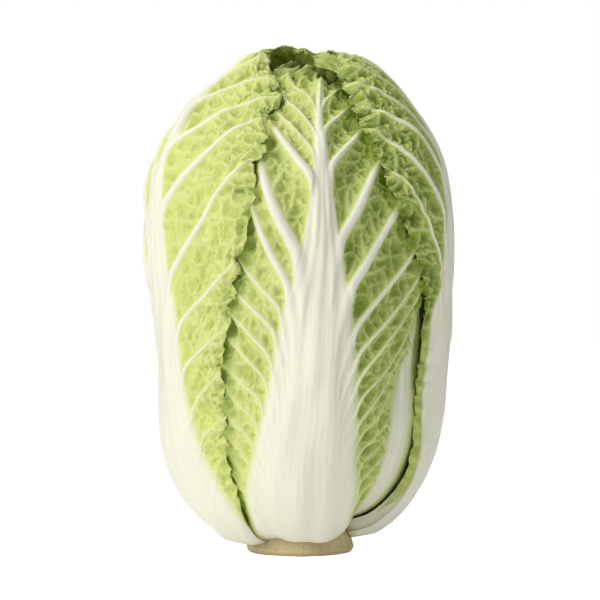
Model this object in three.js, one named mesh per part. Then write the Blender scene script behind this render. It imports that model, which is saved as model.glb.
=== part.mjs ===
// Napa cabbage: an upright, barrel-shaped head of overlapping leaves round a cut stem.
// Millimetres, +Z up. The origin is the centre of the cut face that the head stands on, and -Y is the front.
//
// The head is a capsule: a round bottom, a nearly straight side and a round top, each with its own centre on
// the Z axis. A place on it is an azimuth, a distance `along` the meridian from the leaf bases, and a radius
// from the nearest centre; distances along are those at HEAD_RADIUS. Leaves are laid from the heart
// outwards, each on all the leaves inside it.
import * as THREE from "three";

const DEG = Math.PI / 180;

// ---- Driving dimensions -------------------------------------------------------------------------------
const HEAD_HEIGHT = 271.5; // from the cut face to where the leaf tips meet
const HEAD_RADIUS = 81.5; // at the fullest part of the side
const LEAF_BASE_Z = 8.8; // where the outermost leaves leave the stem
const LEAF_BASE_ANGLE = 68.2 * DEG; // how far below its centre's level the round bottom starts

// The rest of the head's outline, as shares of its radius.
const LEAF_BASE_FULLNESS = 0.935; // where the leaves leave the stem
const SHOULDER_FULLNESS = 0.985; // at the fullest part of the round bottom
const WAIST_FULLNESS = 0.945; // where the bottom meets the side
const CROWN_FULLNESS = 0.905; // half way up the round top
const SUMMIT_FULLNESS = 0.95; // where the tips meet

const STEM_FOOT_RADIUS = 27.5; // the cut face
const STEM_CHAMFER = 2.2; // worn edge of the cut face
const STEM_GAP = 0.8; // between the stem and the ends of the leaves

const BLADE_THICKNESS = 2.6; // a crinkled blade, from its pits to its veins
const EDGE_THICKNESS = 1; // the same at its margin
const MARGIN_SHARE = 0.25; // share of the half-width over which a blade thins to its margin
const RIB_THICKNESS = 8; // midrib at its base, above the blade
const RIB_HALF_WIDTH = 46; // degrees of azimuth, at its base
const RIB_NARROWING = 2.9; // how fast a midrib narrows towards the tip
const LEAF_GAP = 3.2; // between a leaf and those inside it
const TOP_GAP = 4.4; // the same on the round top, where crinkled tips cross each other
const BRIDGE_ACROSS = 4; // a leaf is too stiff to follow dips narrower than this many degrees either way
const BRIDGE_ALONG = 7; // the same along the leaf, millimetres
const RING_THINNING = 0.82; // rib thickness of each ring against the ring outside it
const EDGE_CLEARANCE = 6; // degrees past the margin of an inner leaf before an outer one starts to come down
const EDGE_STEP = 14; // degrees over which it then comes down
const LEAN_END = 0.7; // share of a leaf's length at which its midrib stops leaning
const TIP_START = 0.74; // share of a leaf's length at which its outline starts to round off
const TIP_WIDTH = 0.16; // width left at a leaf's very tip, as a share of its span
const HEART_SIDES = 24;
const HEART_STEPS = 18;
const STEM_SIDES = 32;

// Each side of a leaf's outline is [foot, waist, span, rise start, rise end]: its half-width in degrees at
// the base, below the rise and above it, and the shares of the length between which it widens.
const EVEN_SIDE = [40, 42, 66, 0.3, 0.66];

// The leaves of the two outer rings, from the outermost in: where it is, the azimuth of its base in degrees
// from the front towards +X, how far its midrib leans sideways on the way up, how many degrees of the round
// top it reaches over, and its left and right sides.
const OUTER_LEAVES = [
  ["right", 80, 0, 74, [14, 16, 42, 0.44, 0.72], [38, 42, 64, 0.3, 0.6]],
  ["left", -68, -2, 75, [38, 42, 62, 0.3, 0.6], [35, 36, 50, 0.35, 0.66]],
  ["back_right", 150, 0, 96, EVEN_SIDE, EVEN_SIDE],
  ["front", 0, 9, 74, [44, 44, 66, 0.3, 0.6], [40, 40, 62, 0.3, 0.56]],
  ["back_left", -138, 0, 86, EVEN_SIDE, EVEN_SIDE],
  ["right", 56, 0, 74, [34, 34, 54, 0.3, 0.6], [38, 40, 54, 0.3, 0.6]],
  ["left", -84, 0, 80, EVEN_SIDE, EVEN_SIDE],
  ["back_right", 130, 0, 88, EVEN_SIDE, EVEN_SIDE],
  ["front", -14, 0, 86, EVEN_SIDE, EVEN_SIDE],
  ["back_left", -158, 0, 82, EVEN_SIDE, EVEN_SIDE],
];

// Further in, each leaf stands two fifths of a turn from the one before it, as the stem grew them.
const TURN = -144;
const INNER_LEAVES = 10;
const FIRST_INNER_AZIMUTH = 48;
const RING_DRIFT = 17; // degrees that each ring is turned from the one outside it
const RING_SIZE = 5;
const INNER_REACH = [60, 70, 64, 74, 67];

// Rows and columns of each ring's leaf meshes.
const GRIDS = [
  [14, 19],
  [10, 17],
  [9, 15],
  [8, 13],
];
const END_ROWS = 0.08; // how much closer together the rows are at a leaf's two ends

// ---- The capsule --------------------------------------------------------------------------------------
const BASE_CENTRE_Z = LEAF_BASE_Z + HEAD_RADIUS * LEAF_BASE_FULLNESS * Math.sin(LEAF_BASE_ANGLE);
const TOP_CENTRE_Z = HEAD_HEIGHT - HEAD_RADIUS * SUMMIT_FULLNESS;
const SIDE_START = HEAD_RADIUS * LEAF_BASE_ANGLE;
const TOP_START = SIDE_START + TOP_CENTRE_Z - BASE_CENTRE_Z;
const POLE = TOP_START + (HEAD_RADIUS * Math.PI) / 2;

const smooth = (x) => {
  const t = Math.min(1, Math.max(0, x));
  return t * t * (3 - 2 * t);
};
const mix = (a, b, t) => a + (b - a) * t;

// A smooth curve through [x, y] points, level at each of them.
function through(points, x) {
  let y = points[0][1];
  for (let i = 1; i < points.length; i++) {
    const [x0, y0] = points[i - 1];
    const [x1, y1] = points[i];
    if (x > x0) y = mix(y0, y1, smooth((x - x0) / (x1 - x0)));
  }
  return y;
}

const gapAt = (along) => mix(LEAF_GAP, TOP_GAP, smooth((along - TOP_START) / HEAD_RADIUS + 0.5));

// Radius of the finished head at a distance along the meridian.
const FULLNESS = [
  [0, LEAF_BASE_FULLNESS],
  [0.27 * SIDE_START, SHOULDER_FULLNESS],
  [0.95 * SIDE_START, WAIST_FULLNESS],
  [mix(SIDE_START, TOP_START, 0.8), 1],
  [mix(TOP_START, POLE, 0.45), CROWN_FULLNESS],
  [POLE, SUMMIT_FULLNESS],
];
const headRadius = (along) => HEAD_RADIUS * through(FULLNESS, along);

// The point at an azimuth (degrees), a distance along the meridian and a radius.
function pointAt(azimuth, along, radius) {
  let centreZ = BASE_CENTRE_Z;
  let elevation = Math.min(0, (along - SIDE_START) / HEAD_RADIUS);
  if (along > SIDE_START) centreZ = Math.min(TOP_CENTRE_Z, BASE_CENTRE_Z + along - SIDE_START);
  if (along > TOP_START) elevation = (along - TOP_START) / HEAD_RADIUS;
  const flat = radius * Math.cos(elevation);
  return new THREE.Vector3(
    flat * Math.sin(azimuth * DEG),
    -flat * Math.cos(azimuth * DEG),
    centreZ + radius * Math.sin(elevation),
  );
}

// On the round top a leaf runs straight over the pole, so its own [sideways angle, along] differ from the
// head's [azimuth, along]. Below the top they are the same, apart from the leaf's azimuth.
function leafToHead(leaf, sideways, along) {
  if (along <= TOP_START) return [leaf.azimuth + sideways, along];
  const over = (along - TOP_START) / HEAD_RADIUS;
  const across = Math.sin(sideways * DEG);
  const out = Math.cos(sideways * DEG) * Math.cos(over);
  const up = Math.cos(sideways * DEG) * Math.sin(over);
  return [leaf.azimuth + Math.atan2(across, out) / DEG, TOP_START + HEAD_RADIUS * Math.asin(up)];
}

function headToLeaf(leaf, azimuth, along) {
  const turned = azimuth - leaf.azimuth;
  const sideways = turned - 360 * Math.round(turned / 360);
  if (along <= TOP_START) return [sideways, along];
  const elevation = (along - TOP_START) / HEAD_RADIUS;
  const across = Math.cos(elevation) * Math.sin(sideways * DEG);
  const out = Math.cos(elevation) * Math.cos(sideways * DEG);
  return [Math.asin(across) / DEG, TOP_START + HEAD_RADIUS * Math.atan2(Math.sin(elevation), out)];
}

// ---- Leaves -------------------------------------------------------------------------------------------
const leafLength = (leaf) => TOP_START + HEAD_RADIUS * leaf.reach * DEG;
const midrib = (leaf, share) => leaf.lean * smooth(share / LEAN_END);

// Half-width in degrees on one side of the midrib, at a share of the leaf's length.
function halfWidth(side, share) {
  const [foot, waist, span, riseStart, riseEnd] = side;
  const lower = mix(foot, waist, smooth(share / riseStart));
  const full = mix(lower, span, smooth((share - riseStart) / (riseEnd - riseStart)));
  const tipStart = Math.max(TIP_START, riseEnd);
  const tip = Math.max(0, (share - tipStart) / (1 - tipStart));
  return full * Math.sqrt(1 - (1 - TIP_WIDTH * TIP_WIDTH) * tip * tip);
}

// Degrees that the outline draws in for each degree along the leaf.
function outlineSlope(leaf, isLeft, share) {
  const side = isLeft ? leaf.left : leaf.right;
  const step = 0.01;
  const from = Math.min(share, 1 - step);
  const rise = halfWidth(side, from + step) - halfWidth(side, from);
  return rise / ((step * leafLength(leaf)) / HEAD_RADIUS / DEG);
}

const ribHalfWidth = (share) => RIB_HALF_WIDTH * Math.exp(-RIB_NARROWING * share);

function thickness(leaf, sideways, share) {
  const offset = sideways - midrib(leaf, share);
  const half = halfWidth(offset < 0 ? leaf.left : leaf.right, share);
  const toMargin = smooth((1 - Math.abs(offset) / half) / MARGIN_SHARE);
  const ribShare = Math.max(0, 1 - (offset / ribHalfWidth(share)) ** 2);
  const rib = leaf.rib * (1 - smooth(share)) * ribShare * Math.sqrt(toMargin);
  return mix(EDGE_THICKNESS, BLADE_THICKNESS, toMargin) + rib;
}

// How far a leaf lifts whatever lies on it: all of its thickness inside its outline, and less and less of
// it over the step outside.
function lift(leaf, azimuth, along) {
  const [sideways, leafAlong] = headToLeaf(leaf, azimuth, along);
  const length = leafLength(leaf);
  const share = Math.min(1, leafAlong / length);
  const offset = sideways - midrib(leaf, share);
  const half = halfWidth(offset < 0 ? leaf.left : leaf.right, share);
  const aside = Math.max(0, Math.abs(offset) - half) / Math.hypot(1, outlineSlope(leaf, offset < 0, share));
  const beyond = Math.max(0, leafAlong - length) / HEAD_RADIUS / DEG;
  const held = 1 - smooth((Math.hypot(aside, beyond) - EDGE_CLEARANCE) / EDGE_STEP);
  const inside = Math.min(Math.abs(offset), half) * Math.sign(offset) + midrib(leaf, share);
  return held > 0 ? held * (thickness(leaf, inside, share) + gapAt(along)) : 0;
}

function innerLeaf(i) {
  const azimuth = FIRST_INNER_AZIMUTH + TURN * i + RING_DRIFT * Math.floor(i / RING_SIZE);
  return ["inner", azimuth, 0, INNER_REACH[i % RING_SIZE], EVEN_SIDE, EVEN_SIDE];
}

const leafTable = [...OUTER_LEAVES];
for (let i = 0; i < INNER_LEAVES; i++) leafTable.push(innerLeaf(i));

const leaves = leafTable.map(([where, azimuth, lean, reach, left, right], order) => {
  const name = `leaf_${String(order + 1).padStart(2, "0")}_${where}`;
  const ring = Math.floor(order / RING_SIZE);
  const rib = RIB_THICKNESS * RING_THINNING ** ring;
  return { name, azimuth, lean, reach, left, right, ring, rib };
});

// The heart takes up what the leaves leave of the head's radius, averaged round the head.
const AZIMUTH_SAMPLES = 72;
function heartRadius(along) {
  let stacked = 0;
  for (let i = 0; i < AZIMUTH_SAMPLES; i++)
    for (const leaf of leaves) stacked += lift(leaf, (360 * i) / AZIMUTH_SAMPLES, along);
  return headRadius(along) - stacked / AZIMUTH_SAMPLES;
}

// The heart's radius is looked up often, so it is worked out once at even steps.
const HEART_TABLE_STEPS = 120;
const heartTable = [];
for (let i = 0; i <= HEART_TABLE_STEPS; i++) heartTable.push(heartRadius((POLE * i) / HEART_TABLE_STEPS));
function heartAt(along) {
  const at = Math.min(HEART_TABLE_STEPS - 1e-6, (along / POLE) * HEART_TABLE_STEPS);
  const i = Math.floor(at);
  return mix(heartTable[i], heartTable[i + 1], at - i);
}

// A closed sheet between two grids of points, each (rows + 1) by (columns + 1), seen with the outer grid's
// rows running upwards and its columns to the right.
function sheetGeometry(outer, inner, columns, rows) {
  const stride = columns + 1;
  const count = stride * (rows + 1);
  const positions = new Float32Array([...outer, ...inner].flatMap((p) => [p.x, p.y, p.z]));
  const index = [];
  const quad = (a, b, c, d) => index.push(a, b, c, a, c, d);
  for (let row = 0; row < rows; row++)
    for (let column = 0; column < columns; column++) {
      const a = row * stride + column;
      quad(a, a + 1, a + stride + 1, a + stride);
      quad(a + count, a + stride + count, a + stride + 1 + count, a + 1 + count);
    }
  const border = [];
  for (let column = 0; column < columns; column++) border.push(column);
  for (let row = 0; row < rows; row++) border.push(row * stride + columns);
  for (let column = columns; column > 0; column--) border.push(rows * stride + column);
  for (let row = rows; row > 0; row--) border.push(row * stride);
  border.forEach((a, i) => {
    const b = border[(i + 1) % border.length];
    quad(a, a + count, b + count, b);
  });
  const geometry = new THREE.BufferGeometry();
  geometry.setAttribute("position", new THREE.BufferAttribute(positions, 3));
  geometry.setIndex(index);
  geometry.computeVertexNormals();
  return geometry;
}

// Radius of the inner face of a leaf: the highest of the places under and close round it.
function restingRadius(leaf, inside, sideways, along) {
  const radii = [];
  for (const aside of [-BRIDGE_ACROSS, 0, BRIDGE_ACROSS])
    for (const onward of [-BRIDGE_ALONG, 0, BRIDGE_ALONG]) {
      const [azimuth, headAlong] = leafToHead(leaf, sideways + aside, Math.max(0, along + onward));
      const lifts = inside.map((other) => lift(other, azimuth, headAlong));
      radii.push(lifts.reduce((sum, rise) => sum + rise, heartAt(headAlong) + gapAt(headAlong)));
    }
  return Math.max(...radii);
}

function leafGeometry(leaf, order) {
  const [columns, rows] = GRIDS[leaf.ring];
  const length = leafLength(leaf);
  const inside = leaves.slice(order + 1);
  const outer = [];
  const inner = [];
  for (let row = 0; row <= rows; row++) {
    const share = row / rows - END_ROWS * Math.sin((2 * Math.PI * row) / rows);
    for (let column = 0; column <= columns; column++) {
      const across = (2 * column) / columns - 1;
      const half = halfWidth(across < 0 ? leaf.left : leaf.right, share);
      const sideways = midrib(leaf, share) + across * half;
      const [azimuth, along] = leafToHead(leaf, sideways, share * length);
      const bottom = restingRadius(leaf, inside, sideways, share * length);
      inner.push(pointAt(azimuth, along, bottom));
      outer.push(pointAt(azimuth, along, bottom + thickness(leaf, sideways, share)));
    }
  }
  return sheetGeometry(outer, inner, columns, rows);
}

// ---- Heart and stem -----------------------------------------------------------------------------------
// The leaf bases end on a cone whose tip is the centre of the round bottom.
const STEM_SLOPE = 1 / Math.tan(LEAF_BASE_ANGLE);
const stemTopZ = BASE_CENTRE_Z - heartAt(0) * Math.sin(LEAF_BASE_ANGLE) - STEM_GAP;
const stemRadiusAt = (z) => (BASE_CENTRE_Z - z) * STEM_SLOPE - STEM_GAP / Math.sin(LEAF_BASE_ANGLE);

// The closed bud of small leaves in the middle, too tight to take apart.
function heartGeometry() {
  const profile = [new THREE.Vector2(0, stemTopZ + STEM_GAP)];
  for (let i = 0; i < HEART_STEPS; i++) {
    const along = POLE * (i / HEART_STEPS - END_ROWS * Math.sin((2 * Math.PI * i) / HEART_STEPS));
    const p = pointAt(90, along, heartAt(along));
    profile.push(new THREE.Vector2(p.x, p.z));
  }
  profile.push(new THREE.Vector2(0, TOP_CENTRE_Z + heartAt(POLE)));
  return new THREE.LatheGeometry(profile, HEART_SIDES);
}

function stemGeometry() {
  const profile = [
    [0, 0],
    [STEM_FOOT_RADIUS, 0],
    [stemRadiusAt(STEM_CHAMFER), STEM_CHAMFER],
    [stemRadiusAt(stemTopZ), stemTopZ],
    [0, stemTopZ],
  ];
  return new THREE.LatheGeometry(
    profile.map(([r, z]) => new THREE.Vector2(r, z)),
    STEM_SIDES,
  );
}

// A lathe turns its profile about Y, so it is stood up on Z.
function turned(geometry) {
  return geometry.rotateX(Math.PI / 2);
}

// ---- The head -----------------------------------------------------------------------------------------
const material = (color, roughness) => new THREE.MeshStandardMaterial({ color, roughness, metalness: 0 });
const OUTER_LEAF = material(0xb9c87a, 0.45);
const INNER_LEAF = material(0xe3e3a0, 0.45);
const HEART = material(0xf0e9ae, 0.5);
const STEM = material(0xd9c99a, 0.7);

const head = new THREE.Group();

function addPiece(name, geometry, finish) {
  const mesh = new THREE.Mesh(geometry, finish);
  mesh.name = name;
  head.add(mesh);
}

leaves.forEach((leaf, order) => {
  addPiece(leaf.name, leafGeometry(leaf, order), leaf.ring < 2 ? OUTER_LEAF : INNER_LEAF);
});
addPiece("heart", turned(heartGeometry()), HEART);
addPiece("stem", turned(stemGeometry()), STEM);

export default head;
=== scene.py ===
"""Napa cabbage: the finished head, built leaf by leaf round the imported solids."""

import logging
import math
from dataclasses import dataclass, field, replace
from enum import Enum

import bpy
import numpy as np
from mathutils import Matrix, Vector
from mathutils.bvhtree import BVHTree


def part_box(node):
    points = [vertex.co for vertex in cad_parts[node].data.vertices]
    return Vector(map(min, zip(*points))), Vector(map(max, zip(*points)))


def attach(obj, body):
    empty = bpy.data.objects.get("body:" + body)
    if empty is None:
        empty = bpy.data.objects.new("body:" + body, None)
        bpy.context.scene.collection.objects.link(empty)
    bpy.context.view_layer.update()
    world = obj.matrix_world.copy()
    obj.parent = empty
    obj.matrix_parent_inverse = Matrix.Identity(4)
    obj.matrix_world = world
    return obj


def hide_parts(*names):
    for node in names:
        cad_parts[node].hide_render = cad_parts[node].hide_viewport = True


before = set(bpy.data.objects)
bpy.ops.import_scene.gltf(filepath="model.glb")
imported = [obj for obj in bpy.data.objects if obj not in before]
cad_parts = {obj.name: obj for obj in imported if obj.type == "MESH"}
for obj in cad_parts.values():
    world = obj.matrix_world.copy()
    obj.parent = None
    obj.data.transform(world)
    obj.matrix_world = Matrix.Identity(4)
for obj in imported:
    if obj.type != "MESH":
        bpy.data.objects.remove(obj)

Array = np.ndarray
MM = 0.001  # metres in a millimetre; shapes are worked out in millimetres
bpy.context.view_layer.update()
BODY = "root"
log = logging.getLogger("napa_cabbage")


# ---- Small mathematics -----------------------------------------------------------------------------------
def smooth(x: Array | float) -> Array | float:
    """A smooth step from 0 to 1 as x goes from 0 to 1."""
    t = np.clip(x, 0.0, 1.0)
    return t * t * (3.0 - 2.0 * t)


def rise(x: Array | float, start: float, run: float) -> Array | float:
    """0 up to the start, 1 from a run further on, and smooth in between."""
    return smooth((x - start) / run)


def mix(a: Array | float, b: Array | float, t: Array | float) -> Array | float:
    """The value a share t of the way from a to b."""
    return a + (b - a) * t


def unit(v: Array) -> Array:
    """The vectors of an array, each made one long."""
    return v / np.maximum(np.linalg.norm(v, axis=-1, keepdims=True), 1e-9)


def waves(x: Array, y: Array, size: float, seed: int, count: int = 6) -> Array:
    """Smooth, even noise made of crossing waves.

    Args:
        x: places across.
        y: places along.
        size: typical wavelength, in the units of x and y.
        seed: chooses the waves.
        count: how many waves cross.

    Returns:
        Noise of about -1 to 1 at each place.
    """
    rng = np.random.default_rng(seed)
    total = np.zeros(np.broadcast(x, y).shape)
    for _ in range(count):
        angle = rng.uniform(0.0, math.pi)
        pitch = size * rng.uniform(0.7, 1.5)
        phase = rng.uniform(0.0, 2.0 * math.pi)
        total += np.sin(2.0 * math.pi * (x * math.cos(angle) + y * math.sin(angle)) / pitch + phase)
    return total / math.sqrt(2.0 * count)


def cell_walls(x: Array, y: Array, size: float, seed: int) -> tuple[Array, Array]:
    """Irregular cells, such as those that small veins enclose.

    Args:
        x: places across.
        y: places along.
        size: typical width of a cell, in the units of x and y.
        seed: chooses the cells.

    Returns:
        The distance of each place to the nearest wall, and a random number of its cell from 0 to 1.
    """
    table_size = 64
    rng = np.random.default_rng(seed)
    table = rng.uniform(0.08, 0.92, (table_size, table_size, 3))
    column, row = np.floor(x / size).astype(int), np.floor(y / size).astype(int)
    first = np.full(x.shape, np.inf)
    second = np.full(x.shape, np.inf)
    near = [np.zeros(x.shape) for _ in range(3)]
    next_near = [np.zeros(x.shape) for _ in range(2)]
    for i in range(-2, 3):
        for j in range(-2, 3):
            seeds = table[(column + i) % table_size, (row + j) % table_size]
            px = (column + i + seeds[..., 0]) * size
            py = (row + j + seeds[..., 1]) * size
            apart = (px - x) ** 2 + (py - y) ** 2
            closer = apart < first
            between = ~closer & (apart < second)
            for keep, value in zip(next_near, (px, py)):
                keep[:] = np.where(between, value, keep)
            second = np.where(closer, first, np.where(between, apart, second))
            for keep, value in zip(next_near, near):
                keep[:] = np.where(closer, value, keep)
            for keep, value in zip(near, (px, py, seeds[..., 2])):
                keep[:] = np.where(closer, value, keep)
            first = np.where(closer, apart, first)
    spread = np.hypot(near[0] - next_near[0], near[1] - next_near[1])
    return (second - first) / (2.0 * np.maximum(spread, 1e-6)), near[2]


def spline_weights(places: Array, count: int) -> Array:
    """Weights of a uniform cubic B-spline whose ends are padded by one control each.

    Args:
        places: places from 0 to 1 along the spline.
        count: number of controls without the padding.

    Returns:
        One row of count + 2 weights for each place.
    """
    at = np.clip(places, 0.0, 1.0) * (count - 1)
    first = np.minimum(at.astype(int), count - 2)
    t = at - first
    basis = np.stack([(1 - t) ** 3, 3 * t**3 - 6 * t**2 + 4, -3 * t**3 + 3 * t**2 + 3 * t + 1, t**3], 1) / 6
    weights = np.zeros((len(places), count + 2))
    for k in range(4):
        np.add.at(weights, (np.arange(len(places)), first + k), basis[:, k])
    return weights


def padded(controls: Array) -> Array:
    """A grid of controls with one more row and column carried on straight at each edge."""
    rows = np.vstack([2 * controls[0] - controls[1], controls, 2 * controls[-1] - controls[-2]])
    before = 2 * rows[:, :1] - rows[:, 1:2]
    after = 2 * rows[:, -1:] - rows[:, -2:-1]
    return np.hstack([before, rows, after])


# ---- The head's own coordinates --------------------------------------------------------------------------
@dataclass(frozen=True)
class Capsule:
    """A round bottom, a straight side and a round top, laid out as the solids are.

    A place is an azimuth in degrees from the front towards +X, a distance along the meridian from the leaf
    bases, and a radius from the nearest centre on the Z axis.
    """

    head_height: float = 271.5
    head_radius: float = 81.5
    leaf_base_z: float = 8.8
    leaf_base_angle: float = math.radians(68.2)
    leaf_base_fullness: float = 0.935
    summit_fullness: float = 0.95

    @property
    def base_centre_z(self) -> float:
        """Height of the round bottom's centre."""
        drop = self.head_radius * self.leaf_base_fullness * math.sin(self.leaf_base_angle)
        return self.leaf_base_z + drop

    @property
    def top_centre_z(self) -> float:
        """Height of the round top's centre."""
        return self.head_height - self.head_radius * self.summit_fullness

    @property
    def side_start(self) -> float:
        """Distance along at which the straight side starts."""
        return self.head_radius * self.leaf_base_angle

    @property
    def top_start(self) -> float:
        """Distance along at which the round top starts."""
        return self.side_start + self.top_centre_z - self.base_centre_z

    @property
    def mm_per_degree(self) -> float:
        """Length of one degree on the head's radius."""
        return math.radians(self.head_radius)

    def rays(self, azimuth: Array, along: Array) -> tuple[Array, Array]:
        """The centre and the outward direction at places of the head.

        Args:
            azimuth: degrees.
            along: millimetres.

        Returns:
            The centres and the directions, each with a last axis of three.
        """
        side = np.clip(along - self.side_start, 0.0, self.top_start - self.side_start)
        below = np.minimum(along - self.side_start, 0.0) / self.head_radius
        above = np.maximum(along - self.top_start, 0.0) / self.head_radius
        elevation = below + above
        turn = np.radians(azimuth)
        flat = np.cos(elevation)
        centre = np.stack([0 * side, 0 * side, self.base_centre_z + side], -1)
        direction = np.stack([flat * np.sin(turn), -flat * np.cos(turn), np.sin(elevation)], -1)
        return centre, direction

    def from_leaf(self, leaf_azimuth: float, sideways: Array, along: Array) -> tuple[Array, Array]:
        """Azimuth and distance along of places given in a leaf's own coordinates.

        On the round top a leaf runs straight over the pole.

        Args:
            leaf_azimuth: azimuth of the leaf's base.
            sideways: degrees from the leaf's own meridian.
            along: distance along that meridian.

        Returns:
            The azimuths and the distances along of the same places of the head.
        """
        over = np.maximum(along - self.top_start, 0.0) / self.head_radius
        turn = np.radians(sideways)
        out, up = np.cos(turn) * np.cos(over), np.cos(turn) * np.sin(over)
        top_azimuth = np.degrees(np.arctan2(np.sin(turn), out))
        top_along = self.top_start + self.head_radius * np.arcsin(np.clip(up, -1, 1))
        on_top = along > self.top_start
        return leaf_azimuth + np.where(on_top, top_azimuth, sideways), np.where(on_top, top_along, along)

    def to_leaf(self, leaf_azimuth: float, azimuth: Array, along: Array) -> tuple[Array, Array]:
        """A leaf's own coordinates of places of the head: the reverse of from_leaf.

        Args:
            leaf_azimuth: azimuth of the leaf's base.
            azimuth: degrees.
            along: millimetres.

        Returns:
            Degrees sideways and distances along, on the leaf's own meridian.
        """
        turned = azimuth - leaf_azimuth
        sideways = turned - 360.0 * np.round(turned / 360.0)
        turn = np.radians(sideways)
        elevation = np.maximum(along - self.top_start, 0.0) / self.head_radius
        across, out = np.cos(elevation) * np.sin(turn), np.cos(elevation) * np.cos(turn)
        on_top = along > self.top_start
        top_along = self.top_start + self.head_radius * np.arctan2(np.sin(elevation), out)
        top_side = np.degrees(np.arcsin(np.clip(across, -1, 1)))
        return np.where(on_top, top_side, sideways), np.where(on_top, top_along, along)


HEAD = Capsule()


# ---- Meshes ----------------------------------------------------------------------------------------------
MAP_MARGIN = 0.01  # empty border of every texture map


@dataclass
class Sheet:
    """A closed sheet between two grids of points, with a rim all round.

    The inner face has half the rows and columns of the outer one.
    """

    name: str
    outer: Array
    inner: Array
    attributes: dict[str, Array] = field(default_factory=dict)

    def faces(self) -> tuple[Array, Array, Array, Array]:
        """The quads of the outer face, the inner face and the rim, and the rim's triangles."""
        rows, columns = self.outer.shape[:2]
        index = np.arange(rows * columns).reshape(rows, columns)
        coarse = np.arange(self.inner[..., 0].size).reshape(self.inner.shape[:2]) + index.size
        front, back = grid_quads(index), grid_quads(coarse)[:, ::-1]
        fine, wide = grid_border(index), grid_border(coarse)
        first, middle, last = fine[::2], fine[1::2], np.roll(fine[::2], -1)
        onward = np.roll(wide, -1)
        rim = np.stack([middle, wide, onward, last], -1)
        gusset = np.stack([first, wide, middle], -1)
        return front, back, rim, gusset

    def corners_uv(self) -> Array:
        """Texture places of all corners: the outer face left, the inner face right, the rim between."""
        front, back, rim, gusset = self.faces()
        lowest, highest, width = MAP_MARGIN, 1.0 - MAP_MARGIN, 0.475
        outer_left, inner_left, rim_left, rim_right = MAP_MARGIN, 0.515, 0.495, 0.505
        sides = []
        for points, left in ((self.outer, outer_left), (self.inner, inner_left)):
            v = np.linspace(lowest, highest, points.shape[0])
            u = np.linspace(left, left + width, points.shape[1])
            sides.append(np.stack(np.meshgrid(u, v), -1).reshape(-1, 2))
        place = np.concatenate(sides)
        ends = np.linspace(lowest, highest, len(rim) + 1)
        low, high = ends[:-1], ends[1:]
        half = (low + high) / 2
        near, far = np.full_like(low, rim_left), np.full_like(low, rim_right)
        quads = np.stack([near, half, far, low, far, high, near, high], -1)
        triangles = np.stack([near, low, far, low, near, half], -1)
        on_faces = place[np.concatenate([front, back]).ravel()]
        return np.concatenate([on_faces, quads.reshape(-1, 2), triangles.reshape(-1, 2)])

    def build(self, finish: bpy.types.Material) -> bpy.types.Object:
        """Makes the mesh object, in metres, with its attributes, its texture map and its finish.

        Args:
            finish: the material.

        Returns:
            The object, at the origin.
        """
        points = np.concatenate([in_rows(self.outer), in_rows(self.inner)])
        attributes = {
            name: np.concatenate([in_rows(values), in_rows(values[::2, ::2])])
            for name, values in self.attributes.items()
        }
        return dressed_object(self.name, points, self.faces(), self.corners_uv(), attributes, finish)


def grid_quads(index: Array) -> Array:
    """The quads between the points of a grid of vertex numbers."""
    a, b, c, d = index[:-1, :-1], index[:-1, 1:], index[1:, 1:], index[1:, :-1]
    return np.stack([a, b, c, d], -1).reshape(-1, 4)


def grid_border(index: Array) -> Array:
    """The vertex numbers round a grid, from its first corner along its first row."""
    return np.concatenate([index[0, :-1], index[:-1, -1], index[-1, :0:-1], index[:0:-1, 0]])


@dataclass
class Turned:
    """A closed shape made of rings round the Z axis, each end drawn to a point."""

    name: str
    rings: Array
    attributes: dict[str, Array] = field(default_factory=dict)

    def faces(self) -> tuple[Array, Array]:
        """The quads between the rings and the triangles at both ends, all pointing out."""
        rows, columns = self.rings.shape[:2]
        index = np.arange(rows * columns).reshape(rows, columns)
        onward = np.roll(index, -1, axis=1)
        quads = np.stack([index[:-1], onward[:-1], onward[1:], index[1:]], -1).reshape(-1, 4)
        bottom, top = np.full(columns, index.size), np.full(columns, index.size + 1)
        below = np.stack([bottom, onward[0], index[0]], -1)
        above = np.stack([index[-1], onward[-1], top], -1)
        return quads, np.concatenate([below, above])

    def corners_uv(self) -> Array:
        """Texture places of all corners: round the axis to the right and along the rings upwards."""
        rows, columns = self.rings.shape[:2]
        lowest, highest, point = 0.03, 0.97, 0.02
        u, v = np.meshgrid(
            np.linspace(MAP_MARGIN, 1.0 - MAP_MARGIN, columns + 1), np.linspace(lowest, highest, rows)
        )
        grid = np.stack([u, v], -1)
        quads = np.stack([grid[:-1, :-1], grid[:-1, 1:], grid[1:, 1:], grid[1:, :-1]], -2).reshape(-1, 2)
        left, right = u[0, :-1], u[0, 1:]
        middle, low, high = (left + right) / 2, np.full(columns, lowest), np.full(columns, highest)
        below = np.stack([middle, low - point, right, low, left, low], -1).reshape(-1, 2)
        above = np.stack([left, high, right, high, middle, high + point], -1).reshape(-1, 2)
        return np.concatenate([quads, below, above])

    def build(self, finish: bpy.types.Material) -> bpy.types.Object:
        """Makes the mesh object, in metres, with its attributes, its texture map and its finish.

        Args:
            finish: the material.

        Returns:
            The object, at the origin.
        """
        points = self.with_ends(self.rings)
        attributes = {name: self.with_ends(values) for name, values in self.attributes.items()}
        return dressed_object(self.name, points, self.faces(), self.corners_uv(), attributes, finish)

    @staticmethod
    def with_ends(values: Array) -> Array:
        """The values on the rings in one list, then those of the two end points."""
        return np.concatenate([in_rows(values), values[[0, -1]].mean(axis=1)])


def in_rows(grid: Array) -> Array:
    """A grid's numbers or vectors in one list, row after row."""
    return grid.reshape(-1, *grid.shape[2:])


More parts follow.
